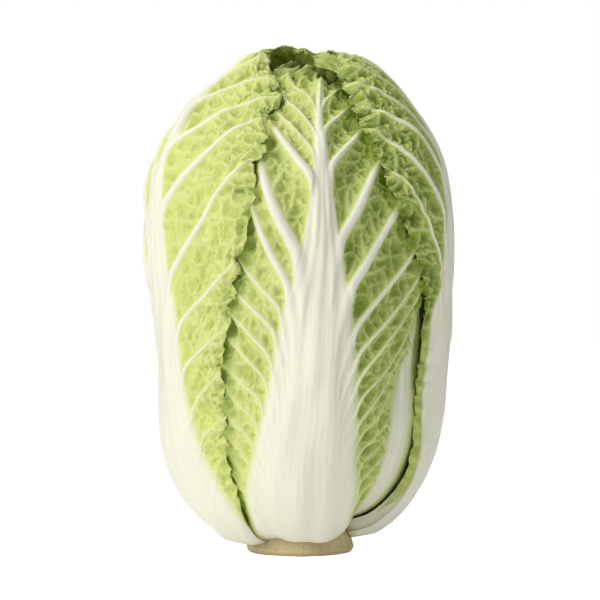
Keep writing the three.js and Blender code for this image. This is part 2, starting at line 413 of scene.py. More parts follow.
def dressed_object(
    name: str,
    points: Array,
    faces: tuple[Array, ...],
    corners_uv: Array,
    attributes: dict[str, Array],
    finish: bpy.types.Material,
) -> bpy.types.Object:
    """A smooth mesh object at the origin, with its texture map, its attributes and its finish.

    Args:
        name: name of the object.
        points: vertices in millimetres.
        faces: arrays of vertex numbers, one row for each face.
        corners_uv: the texture place of each face's corners, in the faces' order.
        attributes: values for each vertex, by name.
        finish: the material.

    Returns:
        The object.
    """
    mesh = polygon_mesh(name, points * MM, faces)
    uv = mesh.uv_layers.new(name="OFBake")
    uv.data.foreach_set("uv", corners_uv.astype(np.float32).ravel())
    for attribute, values in attributes.items():
        add_attribute(mesh, attribute, values)
    mesh.materials.append(finish)
    return link(name, mesh)


def polygon_mesh(name: str, points: Array, faces: tuple[Array, ...]) -> bpy.types.Mesh:
    """A smooth mesh.

    Args:
        name: name of the mesh.
        points: vertices in metres.
        faces: arrays of vertex numbers, one row for each face.

    Returns:
        The mesh.
    """
    mesh = bpy.data.meshes.new(name)
    mesh.vertices.add(len(points))
    mesh.vertices.foreach_set("co", points.astype(np.float32).ravel())
    corners = np.concatenate([part.ravel() for part in faces])
    counts = np.concatenate([np.full(len(part), part.shape[1]) for part in faces])
    mesh.loops.add(len(corners))
    mesh.loops.foreach_set("vertex_index", corners.astype(np.int32))
    mesh.polygons.add(len(counts))
    starts = np.concatenate([[0], np.cumsum(counts)[:-1]])
    mesh.polygons.foreach_set("loop_start", starts.astype(np.int32))
    mesh.polygons.foreach_set("use_smooth", np.ones(len(counts), dtype=bool))
    mesh.update(calc_edges=True)
    return mesh


def add_attribute(mesh: bpy.types.Mesh, name: str, values: Array) -> None:
    """Stores a number or a vector on each vertex.

    Args:
        mesh: the mesh that gets the attribute.
        name: name of the attribute.
        values: one number, or three, for each vertex.
    """
    is_vector = values.ndim > 1
    kind = "FLOAT_VECTOR" if is_vector else "FLOAT"
    layer = mesh.attributes.new(name, kind, "POINT")
    layer.data.foreach_set("vector" if is_vector else "value", values.astype(np.float32).ravel())


def link(name: str, mesh: bpy.types.Mesh) -> bpy.types.Object:
    """Puts a mesh in the scene as an object at the origin."""
    obj = bpy.data.objects.new(name, mesh)
    bpy.context.scene.collection.objects.link(obj)
    return obj


# ---- Finishes --------------------------------------------------------------------------------------------
@dataclass
class Shader:
    """A material's node tree, with short ways to add to it."""

    material: bpy.types.Material

    @classmethod
    def named(cls, name: str) -> "Shader":
        """A new material with an empty node tree."""
        material = bpy.data.materials.new(name)
        material.use_nodes = True
        material.node_tree.nodes.clear()
        return cls(material)

    def node(self, kind: str, settings: dict | None = None, **inputs: object) -> bpy.types.Node:
        """Adds a node.

        Args:
            kind: the node's type, without its ShaderNode prefix.
            settings: the node's own properties.
            **inputs: values or sockets of its inputs, with spaces in their names written as _.

        Returns:
            The node.
        """
        made = self.material.node_tree.nodes.new("ShaderNode" + kind)
        for key, value in (settings or {}).items():
            setattr(made, key, value)
        for key, value in inputs.items():
            self.plug(made.inputs[key.replace("_", " ")], value)
        return made

    def plug(self, socket: bpy.types.NodeSocket, value: object) -> None:
        """Links a socket to an input, or sets the input's value.

        Args:
            socket: the input.
            value: a socket to link, or a plain value.
        """
        if isinstance(value, bpy.types.NodeSocket):
            self.material.node_tree.links.new(value, socket)
        else:
            socket.default_value = value

    def maths(self, operation: str, *values: object, clamp: bool = False) -> bpy.types.NodeSocket:
        """The result of a Math node.

        Args:
            operation: the node's operation.
            *values: its inputs in order.
            clamp: whether the result is kept from 0 to 1.

        Returns:
            The node's output.
        """
        made = self.node("Math", {"operation": operation, "use_clamp": clamp})
        for socket, value in zip(made.inputs, values):
            self.plug(socket, value)
        return made.outputs[0]

    def blend(self, factor: object, a: object, b: object, kind: str = "MIX") -> bpy.types.NodeSocket:
        """Colour a with colour b laid over it by a factor.

        Args:
            factor: how much of b shows, from 0 to 1.
            a: the colour below.
            b: the colour above.
            kind: the way of blending.

        Returns:
            The node's colour output.
        """
        made = self.node("Mix", {"data_type": "RGBA", "blend_type": kind, "clamp_factor": True})
        for number, value in ((0, factor), (6, a), (7, b)):
            self.plug(made.inputs[number], value)
        return made.outputs[2]

    def ramp(self, value: object, low: float, high: float) -> bpy.types.NodeSocket:
        """A smooth step from 0 to 1 as a value rises.

        Args:
            value: the value or socket.
            low: where the step starts.
            high: where it ends.

        Returns:
            The node's output.
        """
        made = self.node("MapRange", {"interpolation_type": "SMOOTHSTEP"}, Value=value)
        for number, limit in ((1, low), (2, high), (3, 0.0), (4, 1.0)):
            made.inputs[number].default_value = limit
        return made.outputs[0]

    def attribute(self, name: str) -> bpy.types.Node:
        """A node that reads an attribute of the piece."""
        return self.node("Attribute", {"attribute_name": name})

    def finish(self, **inputs: object) -> bpy.types.Material:
        """Ends the tree in a Principled shader with the given inputs."""
        shader = self.node("BsdfPrincipled", **inputs)
        self.node("OutputMaterial", Surface=shader.outputs[0])
        return self.material


Colour = tuple[float, float, float, float]
Socket = bpy.types.NodeSocket


@dataclass(frozen=True)
class LeafFinish:
    """The skin of a leaf: white rib, pale veins and green blade, moist and a little translucent."""

    name: str
    rib: Colour = (0.86, 0.85, 0.71, 1.0)
    rib_streak: Colour = (0.74, 0.75, 0.46, 1.0)
    vein: Colour = (0.70, 0.77, 0.32, 1.0)
    pale: Colour = (0.71, 0.78, 0.25, 1.0)
    deep: Colour = (0.18, 0.29, 0.006, 1.0)
    # painted shade laid on the midrib where another leaf lies over it
    crevice_shade: Colour = (0.44, 0.52, 0.06, 1.0)
    aged: Colour = (0.66, 0.55, 0.28, 1.0)
    rib_roughness: float = 0.36
    blade_roughness: float = 0.48
    glow: float = 0.22  # subsurface weight
    mesh_size: float = 3.0  # millimetres across the cells of the finest veins
    net: float = 0.15  # how pale those veins are
    relief: float = 0.5  # strength of the fine bump

    def material(self) -> bpy.types.Material:
        """Builds the material from the leaf's rib, vein, green, shade and place attributes."""
        s = Shader.named(self.name)
        rib = s.attribute("rib").outputs["Fac"]
        place = s.attribute("place").outputs["Vector"]
        net = s.maths("MULTIPLY", self.fine_veins(s, place), s.maths("SUBTRACT", 1.0, rib, clamp=True))
        grain = s.node("TexNoise", Vector=place, Scale=1.4, Detail=3.0, Roughness=0.65).outputs["Fac"]
        along_rib = s.node("Mapping", Vector=place, Scale=(0.42, 0.011, 1.0)).outputs[0]
        streaks = s.node("TexNoise", Vector=along_rib, Scale=1.0, Detail=4.0, Roughness=0.55).outputs["Fac"]
        skin = s.blend(rib, self.blade_colour(s, place, net, grain), self.rib_colour(s, streaks))
        height = s.maths("MULTIPLY_ADD", net, 0.55, s.maths("MULTIPLY", grain, 0.5))
        height = s.maths("MULTIPLY_ADD", streaks, s.maths("MULTIPLY", rib, 1.2), height)
        bump = s.node("Bump", Strength=self.relief, Distance=0.35 * MM, Height=height)
        gloss = s.maths("MULTIPLY_ADD", rib, self.rib_roughness - self.blade_roughness, self.blade_roughness)
        return s.finish(
            Base_Color=self.with_shade_and_cut_end(s, place, rib, skin),
            Roughness=s.maths("MULTIPLY_ADD", grain, 0.12, s.maths("SUBTRACT", gloss, 0.06)),
            Normal=bump.outputs[0],
            Subsurface_Weight=self.glow,
            Subsurface_Radius=(1.0, 1.0, 0.35),
            Subsurface_Scale=2.2 * MM,
            IOR=1.38,
            Coat_Weight=0.04,
            Coat_Roughness=0.3,
        )

    def fine_veins(self, s: Shader, place: Socket) -> Socket:
        """The net of the finest veins.

        Args:
            s: the material's tree.
            place: the place on the flat leaf, in millimetres.

        Returns:
            1 on the veins and 0 between them.
        """
        sway = (5.0, 5.0, 0.0)  # how far the net's lines wander
        warp = s.node("TexNoise", Vector=place, Scale=0.16, Detail=2.0)
        shifted = s.node("VectorMath", {"operation": "MULTIPLY_ADD"})
        for number, value in enumerate((warp.outputs["Color"], sway, place)):
            s.plug(shifted.inputs[number], value)
        cells = s.node(
            "TexVoronoi", {"feature": "DISTANCE_TO_EDGE", "voronoi_dimensions": "2D"},
            Vector=shifted.outputs[0], Scale=1.0 / self.mesh_size,
        )
        return s.maths("SUBTRACT", 1.0, s.ramp(cells.outputs["Distance"], 0.02, 0.2))

    def blade_colour(self, s: Shader, place: Socket, net: Socket, grain: Socket) -> Socket:
        """The colour of the blade and its veins.

        Args:
            s: the material's tree.
            place: the place on the flat leaf, in millimetres.
            net: mask of the finest veins.
            grain: fine noise.

        Returns:
            Green by the leaf's own depth, blotched and specked, with paler veins.
        """
        green, vein = s.attribute("green").outputs["Fac"], s.attribute("vein").outputs["Fac"]
        patch = s.node("TexNoise", Vector=place, Scale=0.05, Detail=3.0, Roughness=0.6)
        blotch = s.maths("MULTIPLY_ADD", patch.outputs["Fac"], 0.5, -0.25)
        speck = s.maths("MULTIPLY_ADD", grain, 0.24, -0.12)
        depth = s.maths("ADD", s.maths("ADD", green, blotch), speck, clamp=True)
        blade = s.blend(depth, self.pale, self.deep)
        netted = s.blend(s.maths("MULTIPLY", net, self.net), blade, self.vein)
        return s.blend(vein, netted, self.vein)

    def rib_colour(self, s: Shader, streaks: Socket) -> Socket:
        """The white of the midrib with its long faint streaks."""
        return s.blend(s.maths("MULTIPLY", s.ramp(streaks, 0.5, 0.85), 0.42), self.rib, self.rib_streak)

    def with_shade_and_cut_end(self, s: Shader, place: Socket, rib: Socket, skin: Socket) -> Socket:
        """The skin with painted shade under other leaves, tan near the foot, and tan at its cut base.

        Args:
            s: the material's tree.
            place: the place on the flat leaf, in millimetres.
            rib: mask of the midrib.
            skin: the colour of the open leaf, without painted shade.

        Returns:
            The finished colour.
        """
        up = s.node("SeparateXYZ", Vector=place).outputs["Y"]
        foot = s.maths("SUBTRACT", 1.0, s.ramp(up, 3.0, 24.0))
        cut_end = s.maths("SUBTRACT", 1.0, s.ramp(up, 0.0, 7.0))
        # painted shade under covering leaves: deep green on the blade, olive on the midrib, tan near the
        # foot
        crevice_shade = s.blend(foot, s.blend(rib, self.deep, self.crevice_shade), self.aged)
        shaded = s.maths("MULTIPLY", s.attribute("shade").outputs["Fac"], 0.75)
        return s.blend(s.maths("MULTIPLY", cut_end, 0.6), s.blend(shaded, skin, crevice_shade), self.aged)


@dataclass(frozen=True)
class ButtFinish:
    """The dry cut end of the stem: tan, fibrous and browned at its edge."""

    name: str = "cut_stem"
    flesh: Colour = (0.66, 0.54, 0.27, 1.0)
    fibre: Colour = (0.76, 0.68, 0.43, 1.0)
    browned: Colour = (0.36, 0.23, 0.09, 1.0)

    def material(self) -> bpy.types.Material:
        """Builds the material."""
        s = Shader.named(self.name)
        place = s.node("TexCoord").outputs["Object"]
        flat = s.node("Mapping", Vector=place, Scale=(1.0, 1.0, 0.25))
        blotch = s.node("TexNoise", Vector=flat.outputs[0], Scale=90.0, Detail=5.0, Roughness=0.65)
        grain = s.node("TexNoise", Vector=place, Scale=900.0, Detail=4.0, Roughness=0.7)
        edge = s.attribute("browning").outputs["Fac"]
        base = s.blend(s.ramp(grain.outputs["Fac"], 0.4, 0.62), self.flesh, self.fibre)
        stain = s.maths("MULTIPLY", s.ramp(blotch.outputs["Fac"], 0.42, 0.7), 0.45)
        aged = s.blend(s.maths("MAXIMUM", stain, edge), base, self.browned)
        height = s.maths("ADD", grain.outputs["Fac"], blotch.outputs["Fac"])
        bump = s.node("Bump", Strength=0.7, Distance=0.6 * MM, Height=height)
        return s.finish(
            Base_Color=aged, Roughness=0.72, Normal=bump.outputs[0], Subsurface_Weight=0.08,
            Subsurface_Radius=(1.0, 0.7, 0.4), Subsurface_Scale=1.5 * MM,
        )


# ---- Leaves ----------------------------------------------------------------------------------------------
@dataclass(frozen=True)
class Side:
    """The outline of one side of a leaf: its half-widths in degrees, and where it widens."""

    foot: float = 40.0
    waist: float = 42.0
    span: float = 66.0
    rise_start: float = 0.3
    rise_end: float = 0.66
    tip_start: float = 0.74
    tip_width: float = 0.16

    def half_width(self, share: Array) -> Array:
        """Degrees from the midrib to the margin at shares of the leaf's length."""
        lower = mix(self.foot, self.waist, smooth(share / self.rise_start))
        widening = rise(share, self.rise_start, self.rise_end - self.rise_start)
        start = max(self.tip_start, self.rise_end)
        tip = np.clip((share - start) / (1.0 - start), 0.0, 1.0)
        return mix(lower, self.span, widening) * np.sqrt(1.0 - (1.0 - self.tip_width**2) * tip * tip)


@dataclass(frozen=True)
class Look:
    """How a leaf's surface differs from its plain solid, in millimetres unless it says otherwise."""

    quilting: float = 1.5  # how far the blade draws back between its side veins
    crinkle: float = 1.7  # how far it draws back in the cells between small veins
    cell: float = 9.0  # width of those cells
    frill: float = 3.4  # how far the margin waves out
    frill_pitch: float = 11.5
    frill_depth: float = 9.0  # how far in from the margin it waves
    lobes: float = 3.2  # how far the margin's rounded lobes stand out
    hug: float = 1.1  # how far the margin bends in towards the leaf inside it
    tip_curl: float = 0.0  # how far the tip stands off
    tip_reach: float = 0.0  # how far the tip runs past its solid
    nerve: float = 0.42  # how pale the small veins are
    crown: float = 0.0  # 1 if the tip ruffles freely in the crown
    rib_scale: float = 1.0  # width of the midrib against the usual
    green: float = 0.34  # 0 is the palest blade, 1 the deepest
    margin_green: float = 0.12
    tip_green: float = 0.15
    # painted shade: the right half, turned from the light, is painted a deeper green
    right_shade: float = 0.0  # how much deeper the right half is
    wing: float = 4.0  # width of the green margin beside the rib's base, in millimetres


class Ring(Enum):
    """Which ring of the head a leaf stands in, with the columns and rows of its mesh."""

    OUTER = (190, 398)
    SECOND = (130, 260)
    INNER = (64, 120)

    def grid(self) -> tuple[int, int]:
        thinning = 1.0
        columns, rows = self.value
        return 2 * int(columns * thinning / 2), 2 * int(rows * thinning / 2)


@dataclass(frozen=True)
class Vein:
    """A tapering vein in a leaf's flat coordinates."""

    points: Array
    half_widths: Array
    height: float


@dataclass(frozen=True)
class SideVein:
    """A side vein: where it parts from the midrib, its widths there and at its end, and its angle."""

    share: float
    width: float = 2.2
    end_width: float = 1.0
    angle: float = 40.0


def even_side_veins(offset: float) -> tuple[SideVein, ...]:
    """Side veins at even steps up one side of a leaf, thickest and steepest above the middle.

    Args:
        offset: how far the first one is shifted, as a share of a step.

    Returns:
        The side veins from the base up.
    """
    lowest, highest, strongest, spread = 0.15, 0.93, 0.58, 0.12
    low_step, high_step, low_angle, high_angle = 0.042, 0.08, 50.0, 30.0
    veins = []
    share = lowest + 0.04 * offset
    rng = np.random.default_rng(int(97 + 10 * offset))
    while share < highest:
        strength = math.exp(-(((share - strongest) / spread) ** 2))
        upper = float(rise(share, 0.3, 0.25))
        angle = mix(low_angle, high_angle, upper)
        veins.append(SideVein(share, 1.8 + 3.4 * strength, 0.9 + 1.2 * strength, angle))
        share += mix(low_step, high_step, upper) * rng.uniform(0.78, 1.25)
    return tuple(veins)


IN_THE_OPEN = -9.0  # depth under other leaves, in millimetres, at which a leaf is clear of them

# Shares of a leaf's length, and the half-width of its midrib there in millimetres.
RIB_TAPER = (
    (0.0, 0.055, 0.13, 0.23, 0.32, 0.41, 0.49, 0.53, 0.58, 0.67, 0.76, 0.86, 1.0),
    (56.0, 52.0, 42.0, 32.0, 26.5, 22.5, 18.5, 14.0, 11.0, 6.6, 4.2, 2.8, 1.0),
)


@dataclass
class Leaf:
    """One leaf of the head."""

    node: str
    ring: Ring
    azimuth: float
    lean: float = 0.0
    reach: float = 80.0
    left: Side = Side()
    right: Side = Side()
    look: Look = Look()
    left_veins: tuple[SideVein, ...] = ()
    right_veins: tuple[SideVein, ...] = ()
    crowd: tuple[float, float] = (-1.0, 1.0)  # where across the leaf the columns are closest
    blade_thickness: float = 0.9
    edge_thickness: float = 0.5
    lean_end: float = 0.7
    flare: float = 0.0  # how much wider the foot is than its solid's, as a share
    settling: float = 0.0  # how far the leaf lies below its solid round the pole

    @property
    def seed(self) -> int:
        """A number of the leaf's own, for its noise."""
        return int(self.node.split("_")[1]) * 101

    @property
    def length(self) -> float:
        """Length of the leaf along the meridian."""
        return HEAD.top_start + HEAD.head_radius * math.radians(self.reach)

    def midrib(self, share: Array) -> Array:
        """Degrees that the midrib has leant sideways at shares of the length."""
        return self.lean * smooth(share / self.lean_end)

    def half_width(self, share: Array, offset: Array) -> Array:
        """Degrees from the midrib to the margin on the side that an offset lies on."""
        return np.where(offset < 0, self.left.half_width(share), self.right.half_width(share))

    def rib_half_width(self, share: Array) -> Array:
        """Half-width of the midrib in millimetres at shares of the length."""
        return self.look.rib_scale * np.interp(share, *RIB_TAPER)

    def grid(self) -> tuple[Array, Array]:
        """Places across (-1 to 1) and along (0 to 1) of the mesh's columns and rows."""
        columns, rows = self.ring.grid()
        even = np.linspace(-1.0, 1.0, 400)
        density = np.where((even > self.crowd[0]) & (even < self.crowd[1]), 1.0, 0.45)
        total = np.concatenate([[0.0], np.cumsum((density[1:] + density[:-1]) / 2)])
        across = np.interp(np.linspace(0.0, total[-1], columns + 1), total, even)
        return across, np.linspace(0.0, 1.0, rows + 1)

    # -- the plain surface --
    def solid_radius(self, across: Array, share: Array) -> Array:
        """Radius of the solid leaf's outer face, smoothed.

        Args:
            across: places across of the columns wanted.
            share: places along of the rows wanted.

        Returns:
            A radius for each row and column, in millimetres.
        """
        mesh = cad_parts[self.node].data
        tree = BVHTree.FromPolygons([v.co[:] for v in mesh.vertices], [p.vertices[:] for p in mesh.polygons])
        columns, rows, inset = 29, 41, 0.985
        a = np.linspace(-1.0, 1.0, columns) * inset
        s = mix(0.5, np.linspace(0.0, 1.0, rows), inset)
        grid_a, grid_s = np.meshgrid(a, s)
        half = self.half_width(grid_s, grid_a)
        azimuth, along = HEAD.from_leaf(
            self.azimuth, self.midrib(grid_s) + grid_a * half, grid_s * self.length
        )
        centre, direction = HEAD.rays(azimuth, along)
        reach = 1.6 * HEAD.head_radius
        controls = np.full(grid_a.shape, np.nan)
        for i in range(rows):
            for j in range(columns):
                start = Vector((centre[i, j] + direction[i, j] * reach) * MM)
                hit = tree.ray_cast(start, Vector(-direction[i, j]), reach * MM)
                if hit[3] is not None:
                    controls[i, j] = reach - hit[3] / MM
        for _ in range(rows):
            if not np.isnan(controls).any():
                break
            near = np.nanmean(np.stack([np.roll(controls, k, ax) for ax in (0, 1) for k in (-1, 1)]), axis=0)
            controls = np.where(np.isnan(controls), near, controls)
        return spline_weights(share, rows) @ padded(controls) @ spline_weights((across + 1) / 2, columns).T

    # -- veins --
    def side_vein(self, start: SideVein, sign: int, rng: np.random.Generator) -> Vein:
        """The path of one side vein, from inside the midrib out to the margin.

        Args:
            start: where it leaves the midrib.
            sign: -1 on the left, 1 on the right.
            rng: draws its small bends.

        Returns:
            The vein.
        """
        step, run_in, inner_share, most_points = 4.0, 28.0, 0.72, 50
        steepening = mix(0.12, 0.45, float(rise(start.share, 0.42, 0.12)))
        rib = float(self.rib_half_width(np.array(start.share)))
        joint = max(rib - 0.35 * start.width, 0.4 * rib)
        x, y = joint, start.share * self.length
        points, widths = [], []
        bend, sway = rng.uniform(-0.5, 0.5), rng.uniform(2.0, 5.0)
        steps_in = int(run_in / step)
        for k in range(steps_in):
            t = k / steps_in
            beside = mix(inner_share, 1.0, t * t) * joint * sign
            points.append((beside, y - run_in + t * run_in))
            widths.append(start.width * float(mix(0.25, 1.0, smooth(t))) / 2)
        edge, gone = 1.0, 0.0
        while len(points) < most_points and edge > 0:
            points.append((x * sign, y))
            straightening = 1.0 - steepening * float(smooth(gone / 90.0))
            angle = start.angle * float(rise(gone, -7.0, 22.0)) * straightening
            angle += sway * math.sin(gone / 12.0 + bend * 6.0) * float(smooth(gone / 12.0))
            x += step * math.sin(math.radians(angle))
            y += step * math.cos(math.radians(angle))
            gone += step
            share = min(y / self.length, 1.0)
            half = float(self.half_width(np.array(share), np.array(sign * 1.0))) * HEAD.mm_per_degree
            edge = min(half - x, self.length - y)
        out = np.linspace(0.0, 1.0, len(points) - steps_in)
        fading = 1.0 - 0.5 * rise(out, 0.8, 0.2)
        widths += list(mix(start.width, start.end_width, out**0.8) * fading / 2)
        height = 0.35 + 0.36 * start.width
        return Vein(np.array(points), np.array(widths), height)

    def twigs(self, parent: Vein, rng: np.random.Generator) -> list[Vein]:
        """Short veins that branch off a side vein, to alternate sides.

        Args:
            parent: the side vein.
            rng: draws their places, angles and lengths.

        Returns:
            The twigs.
        """
        first, step, skipped, height = 8, 2.6, 0.2, 0.5
        made = []
        turn = 1
        for k in range(first, len(parent.points) - 1, 2):
            turn = -turn
            if rng.uniform() < skipped:
                continue
            heading = parent.points[k + 1] - parent.points[k]
            base = math.atan2(heading[0], heading[1])
            angle = base + turn * math.radians(rng.uniform(34.0, 68.0))
            bend = -turn * math.radians(rng.uniform(-1.0, 8.0))
            away = np.array([math.sin(angle), math.cos(angle)])
            point = mix(parent.points[k], parent.points[k + 1], rng.uniform()) + away * parent.half_widths[k]
            points = [point]
            for _ in range(rng.integers(3, 8)):
                point = point + step * np.array([math.sin(angle), math.cos(angle)])
                points.append(point)
                angle += bend
            made.append(Vein(np.array(points), np.linspace(0.75, 0.35, len(points)), height))
        return made

    def veins(self) -> tuple[list[Vein], list[Vein]]:
        """The side veins and their twigs."""
        rng = np.random.default_rng(self.seed + 7)
        left, right = self.left_veins or even_side_veins(0.0), self.right_veins or even_side_veins(0.5)
        sides = ((-1, left), (1, right))
        large = [self.side_vein(start, sign, rng) for sign, starts in sides for start in starts]
        small = [twig for vein in large for twig in self.twigs(vein, rng)]
        return large, small

    # -- the finished surface --
    def build(self, covering: list["Leaf"]) -> Sheet:
        """Works out the leaf's finished surface.

        Args:
            covering: the leaves outside this one.

        Returns:
            The closed sheet, with its attributes.
        """
        across, shares = self.grid()
        a, s = np.meshgrid(across, shares)
        half = self.half_width(s, a)
        x, y = a * half * HEAD.mm_per_degree, s * self.length
        flare = 1.0 + self.flare * (1.0 - smooth(s / 0.1))
        azimuth, along = HEAD.from_leaf(self.azimuth, self.midrib(s) + a * half * flare, y)
        centre, direction = HEAD.rays(azimuth, along)
        settled = self.settling * rise(along - HEAD.top_start, 50.0, 60.0)
        base = centre + direction * (self.solid_radius(across, shares) - settled)[..., None]
        ahead, aside, normal = surface_axes(base)
        edge, run, out_x, out_y = Margin.of(self).nearest(x, y)
        freed = self.look.crown * rise(s, 0.84, 0.1)
        inside = mix(depth_under(covering, azimuth, along), IN_THE_OPEN, freed)
        covered = rise(inside, -5.0, 9.0)
        relief = self.relief(x, y, s, edge)
        out, spread, slide = self.frill(edge, run, s, covered)
        out = relief.height * (1.0 - 0.5 * covered) + out
        outward = aside * out_x[..., None] + ahead * out_y[..., None]
        sidelong = aside * -out_y[..., None] + ahead * out_x[..., None]
        outer = base + normal * out[..., None]
        outer += outward * spread[..., None] + sidelong * slide[..., None]
        inner = self.inner_face(outer, normal, x, s, edge)
        outer[..., 2], inner[..., 2] = settled_height(outer[..., 2]), settled_height(inner[..., 2])
        attributes = {
            "rib": relief.rib,
            "vein": relief.vein,
            "green": self.greenness(x, y, s, edge, relief),
            # painted shade: how deep this place lies under the leaves outside it
            "shade": rise(inside, IN_THE_OPEN, 10.0),
            "place": np.stack([x + 400.0, y, 0 * x], -1),
        }
        return Sheet(self.node + "_skin", outer, inner, attributes)

    def inner_face(self, outer: Array, normal: Array, x: Array, s: Array, edge: Array) -> Array:
        """The leaf's inner face, on every second row and column: thin in the blade, thick in the stalk.

        Args:
            outer: points of the outer face.
            normal: outward directions of the plain surface.
            x: millimetres across from the midrib.
            s: shares of the length.
            edge: millimetres in from the margin.

        Returns:
            The points.
        """
        stalk_thickness = 6.5
        thickness = mix(self.edge_thickness, self.blade_thickness, smooth(edge / 8.0))
        roundness = np.maximum(0.0, 1.0 - (x / (1.3 * self.rib_half_width(s))) ** 2)
        stalk = stalk_thickness * (1.0 - smooth(s)) * roundness
        inner = outer - surface_axes(outer)[2] * thickness[..., None]
        inner -= normal * (stalk * smooth(edge / 6.0 + mix(0.7, 0.2, smooth(s / 0.35))))[..., None]
        return inner[::2, ::2]

    def rib_mask(self, x: Array, s: Array, edge: Array) -> Array:
        """Where the midrib lies.

        Args:
            x: millimetres across from the midrib.
            s: shares of the length.
            edge: millimetres in from the margin.

        Returns:
            1 on the midrib and 0 on the blade.
        """
        q = x / np.maximum(self.rib_half_width(s), 0.5)
        rib = 1.0 - rise(np.abs(q), 0.86, 0.24)
        wing = self.look.wing * rise(s, 0.05, 0.15)
        return rib * smooth((edge - wing) / np.maximum(0.8 * wing, 0.5) + 0.5)

    def fluting(self, x: Array, y: Array, s: Array) -> Array:
        """The long shallow flutes of a midrib, and the fine ridges on them.

        Args:
            x: millimetres across from the midrib.
            y: millimetres along.
            s: shares of the length.

        Returns:
            Their height in millimetres, as if the midrib were everywhere.
        """
        rib_width = self.rib_half_width(s)
        q = x / np.maximum(rib_width, 0.5)
        flutes = np.cos(2 * math.pi * (2.3 * q + 0.14 * waves(x, y, 90.0, self.seed + 6)))
        ridges = np.cos(2 * math.pi * (8.3 * q + 0.3 * waves(x, y, 60.0, self.seed + 8)))
        strength = smooth(rib_width / 12.0) * (1.0 - 0.6 * smooth((0.2 - s) / 0.2))
        return (0.26 * flutes + 0.05 * ridges) * strength

    def crinkles(self, x: Array, y: Array, twig_apart: Array) -> tuple[Array, Array, Array]:
        """The cells between the small veins, which sink in while the veins stay up.

        Args:
            x: millimetres across from the midrib.
            y: millimetres along.
            twig_apart: millimetres to the nearest twig.

        Returns:
            The height for a crinkle of one millimetre, a mask of the small veins, and one of the cells.
        """
        cell, nerve_width, warp, warp_size = self.look.cell, 0.55, 1.6, 17.0
        bent_x = x + warp * waves(x, y, warp_size, self.seed + 1)
        bent_y = y + warp * waves(x, y, warp_size, self.seed + 2)
        wall, _ = cell_walls(bent_x, bent_y * 0.86, cell, self.seed + 3)
        fine_wall, shade = cell_walls(bent_x, bent_y, cell * 0.42, self.seed + 4)
        wall = np.minimum(wall, twig_apart * 0.8)
        nerve = np.exp(-((wall / nerve_width) ** 2))
        pillow = 1.0 - np.exp(-((wall / (0.24 * cell)) ** 2))
        fine = 0.22 * np.exp(-((fine_wall / nerve_width) ** 2)) - 0.4 * shade * smooth(fine_wall / 1.3)
        return 0.2 * nerve - pillow + fine, nerve, pillow

    def relief(self, x: Array, y: Array, s: Array, edge: Array) -> "Relief":
        """Ribs, veins and crinkles.

        Args:
            x: millimetres across from the midrib.
            y: millimetres along.
            s: shares of the length.
            edge: millimetres in from the margin.

        Returns:
            The height added to the plain surface, and the masks of the rib and the veins.
        """
        look = self.look
        rib_width = self.rib_half_width(s)
        rib = self.rib_mask(x, s, edge)
        blade = (1.0 - rib) * smooth(s / 0.25)
        large, small = self.veins()
        vein_height, vein_mask, apart = trace(large, x, y)
        twig_height, twig_mask, twig_apart = trace(small, x, y)
        apart = np.minimum(apart, np.maximum(0.0, np.abs(x) - rib_width))
        crinkle, nerve, pillow = self.crinkles(x, y, twig_apart)
        puckers = blade * smooth(apart / 2.2) * look.crinkle * (1.0 + 0.5 * np.exp(-edge / 9.0))
        keel = np.exp(-((x / np.maximum(rib_width, 0.5) / 0.75) ** 2))
        keel = keel * rise(s, 0.35, 0.3) * smooth(edge / 12.0)
        height = crinkle * puckers - look.quilting * (1.0 - np.exp(-((apart / 4.0) ** 2))) * blade
        height += np.maximum(vein_height, twig_height * 0.8 * (1.0 - rib)) * (1.0 - 0.45 * rib)
        height += 0.9 * waves(x, y, 46.0, self.seed + 5) * blade
        height += self.fluting(x, y, s) * rib + 1.5 * keel
        pale = np.maximum.reduce([vein_mask, 0.5 * twig_mask, look.nerve * nerve * (1.0 - rib)])
        white = np.maximum(rib, vein_mask * smooth(vein_height / 1.5)) * (1.0 - 0.4 * rise(s, 0.75, 0.2))
        return Relief(height, white, pale, apart, pillow)

    def frill(self, edge: Array, run: Array, s: Array, covered: Array) -> tuple[Array, Array, Array]:
        """How the margin waves.

        Args:
            edge: millimetres in from the margin.
            run: millimetres along the margin.
            s: shares of the length.
            covered: 0 where the leaf shows and 1 where another lies on it.

        Returns:
            Displacements along the normal, outwards in the surface, and along the margin.
        """
        look = self.look
        zero = np.zeros_like(run)
        drift = 0.7 * waves(run, zero, 61.0, self.seed + 11, 4)
        drift += 0.2 * waves(run, zero, 19.0, self.seed + 12)
        phase = 2 * math.pi * (run / look.frill_pitch + drift)
        vigour = np.clip(0.9 + 0.45 * waves(run, zero, 43.0, self.seed + 13, 4), 0.3, 1.4)
        vigour = vigour * rise(s, 0.03, 0.3) * (1.0 - 0.8 * covered)
        vigour = vigour * mix(0.7, 1.2, rise(s, 0.4, 0.3)) * mix(1.0, 0.7, rise(s, 0.85, 0.15))
        depth = look.frill_depth * mix(0.4, 1.0, rise(s, 0.3, 0.3))
        fade = np.exp(-((edge / depth) ** 1.3))
        close = np.exp(-((edge / (0.5 * depth)) ** 1.6))
        lift = look.frill * vigour
        low = 1.0 - rise(s, 0.2, 0.4)
        tip = rise(s, 0.86, 0.14)
        hugging = (1.0 + 1.3 * low) * np.exp(-edge / mix(11.0, 16.0, low)) * (1.0 - 0.3 * covered)
        out = lift * fade * (0.4 + 0.6 * np.sin(phase))
        out += 0.14 * lift * close * np.sin(2.37 * phase + 1.3)
        out -= look.hug * hugging
        out += look.tip_curl * tip * np.exp(-edge / 9.0) * (1.0 - covered)
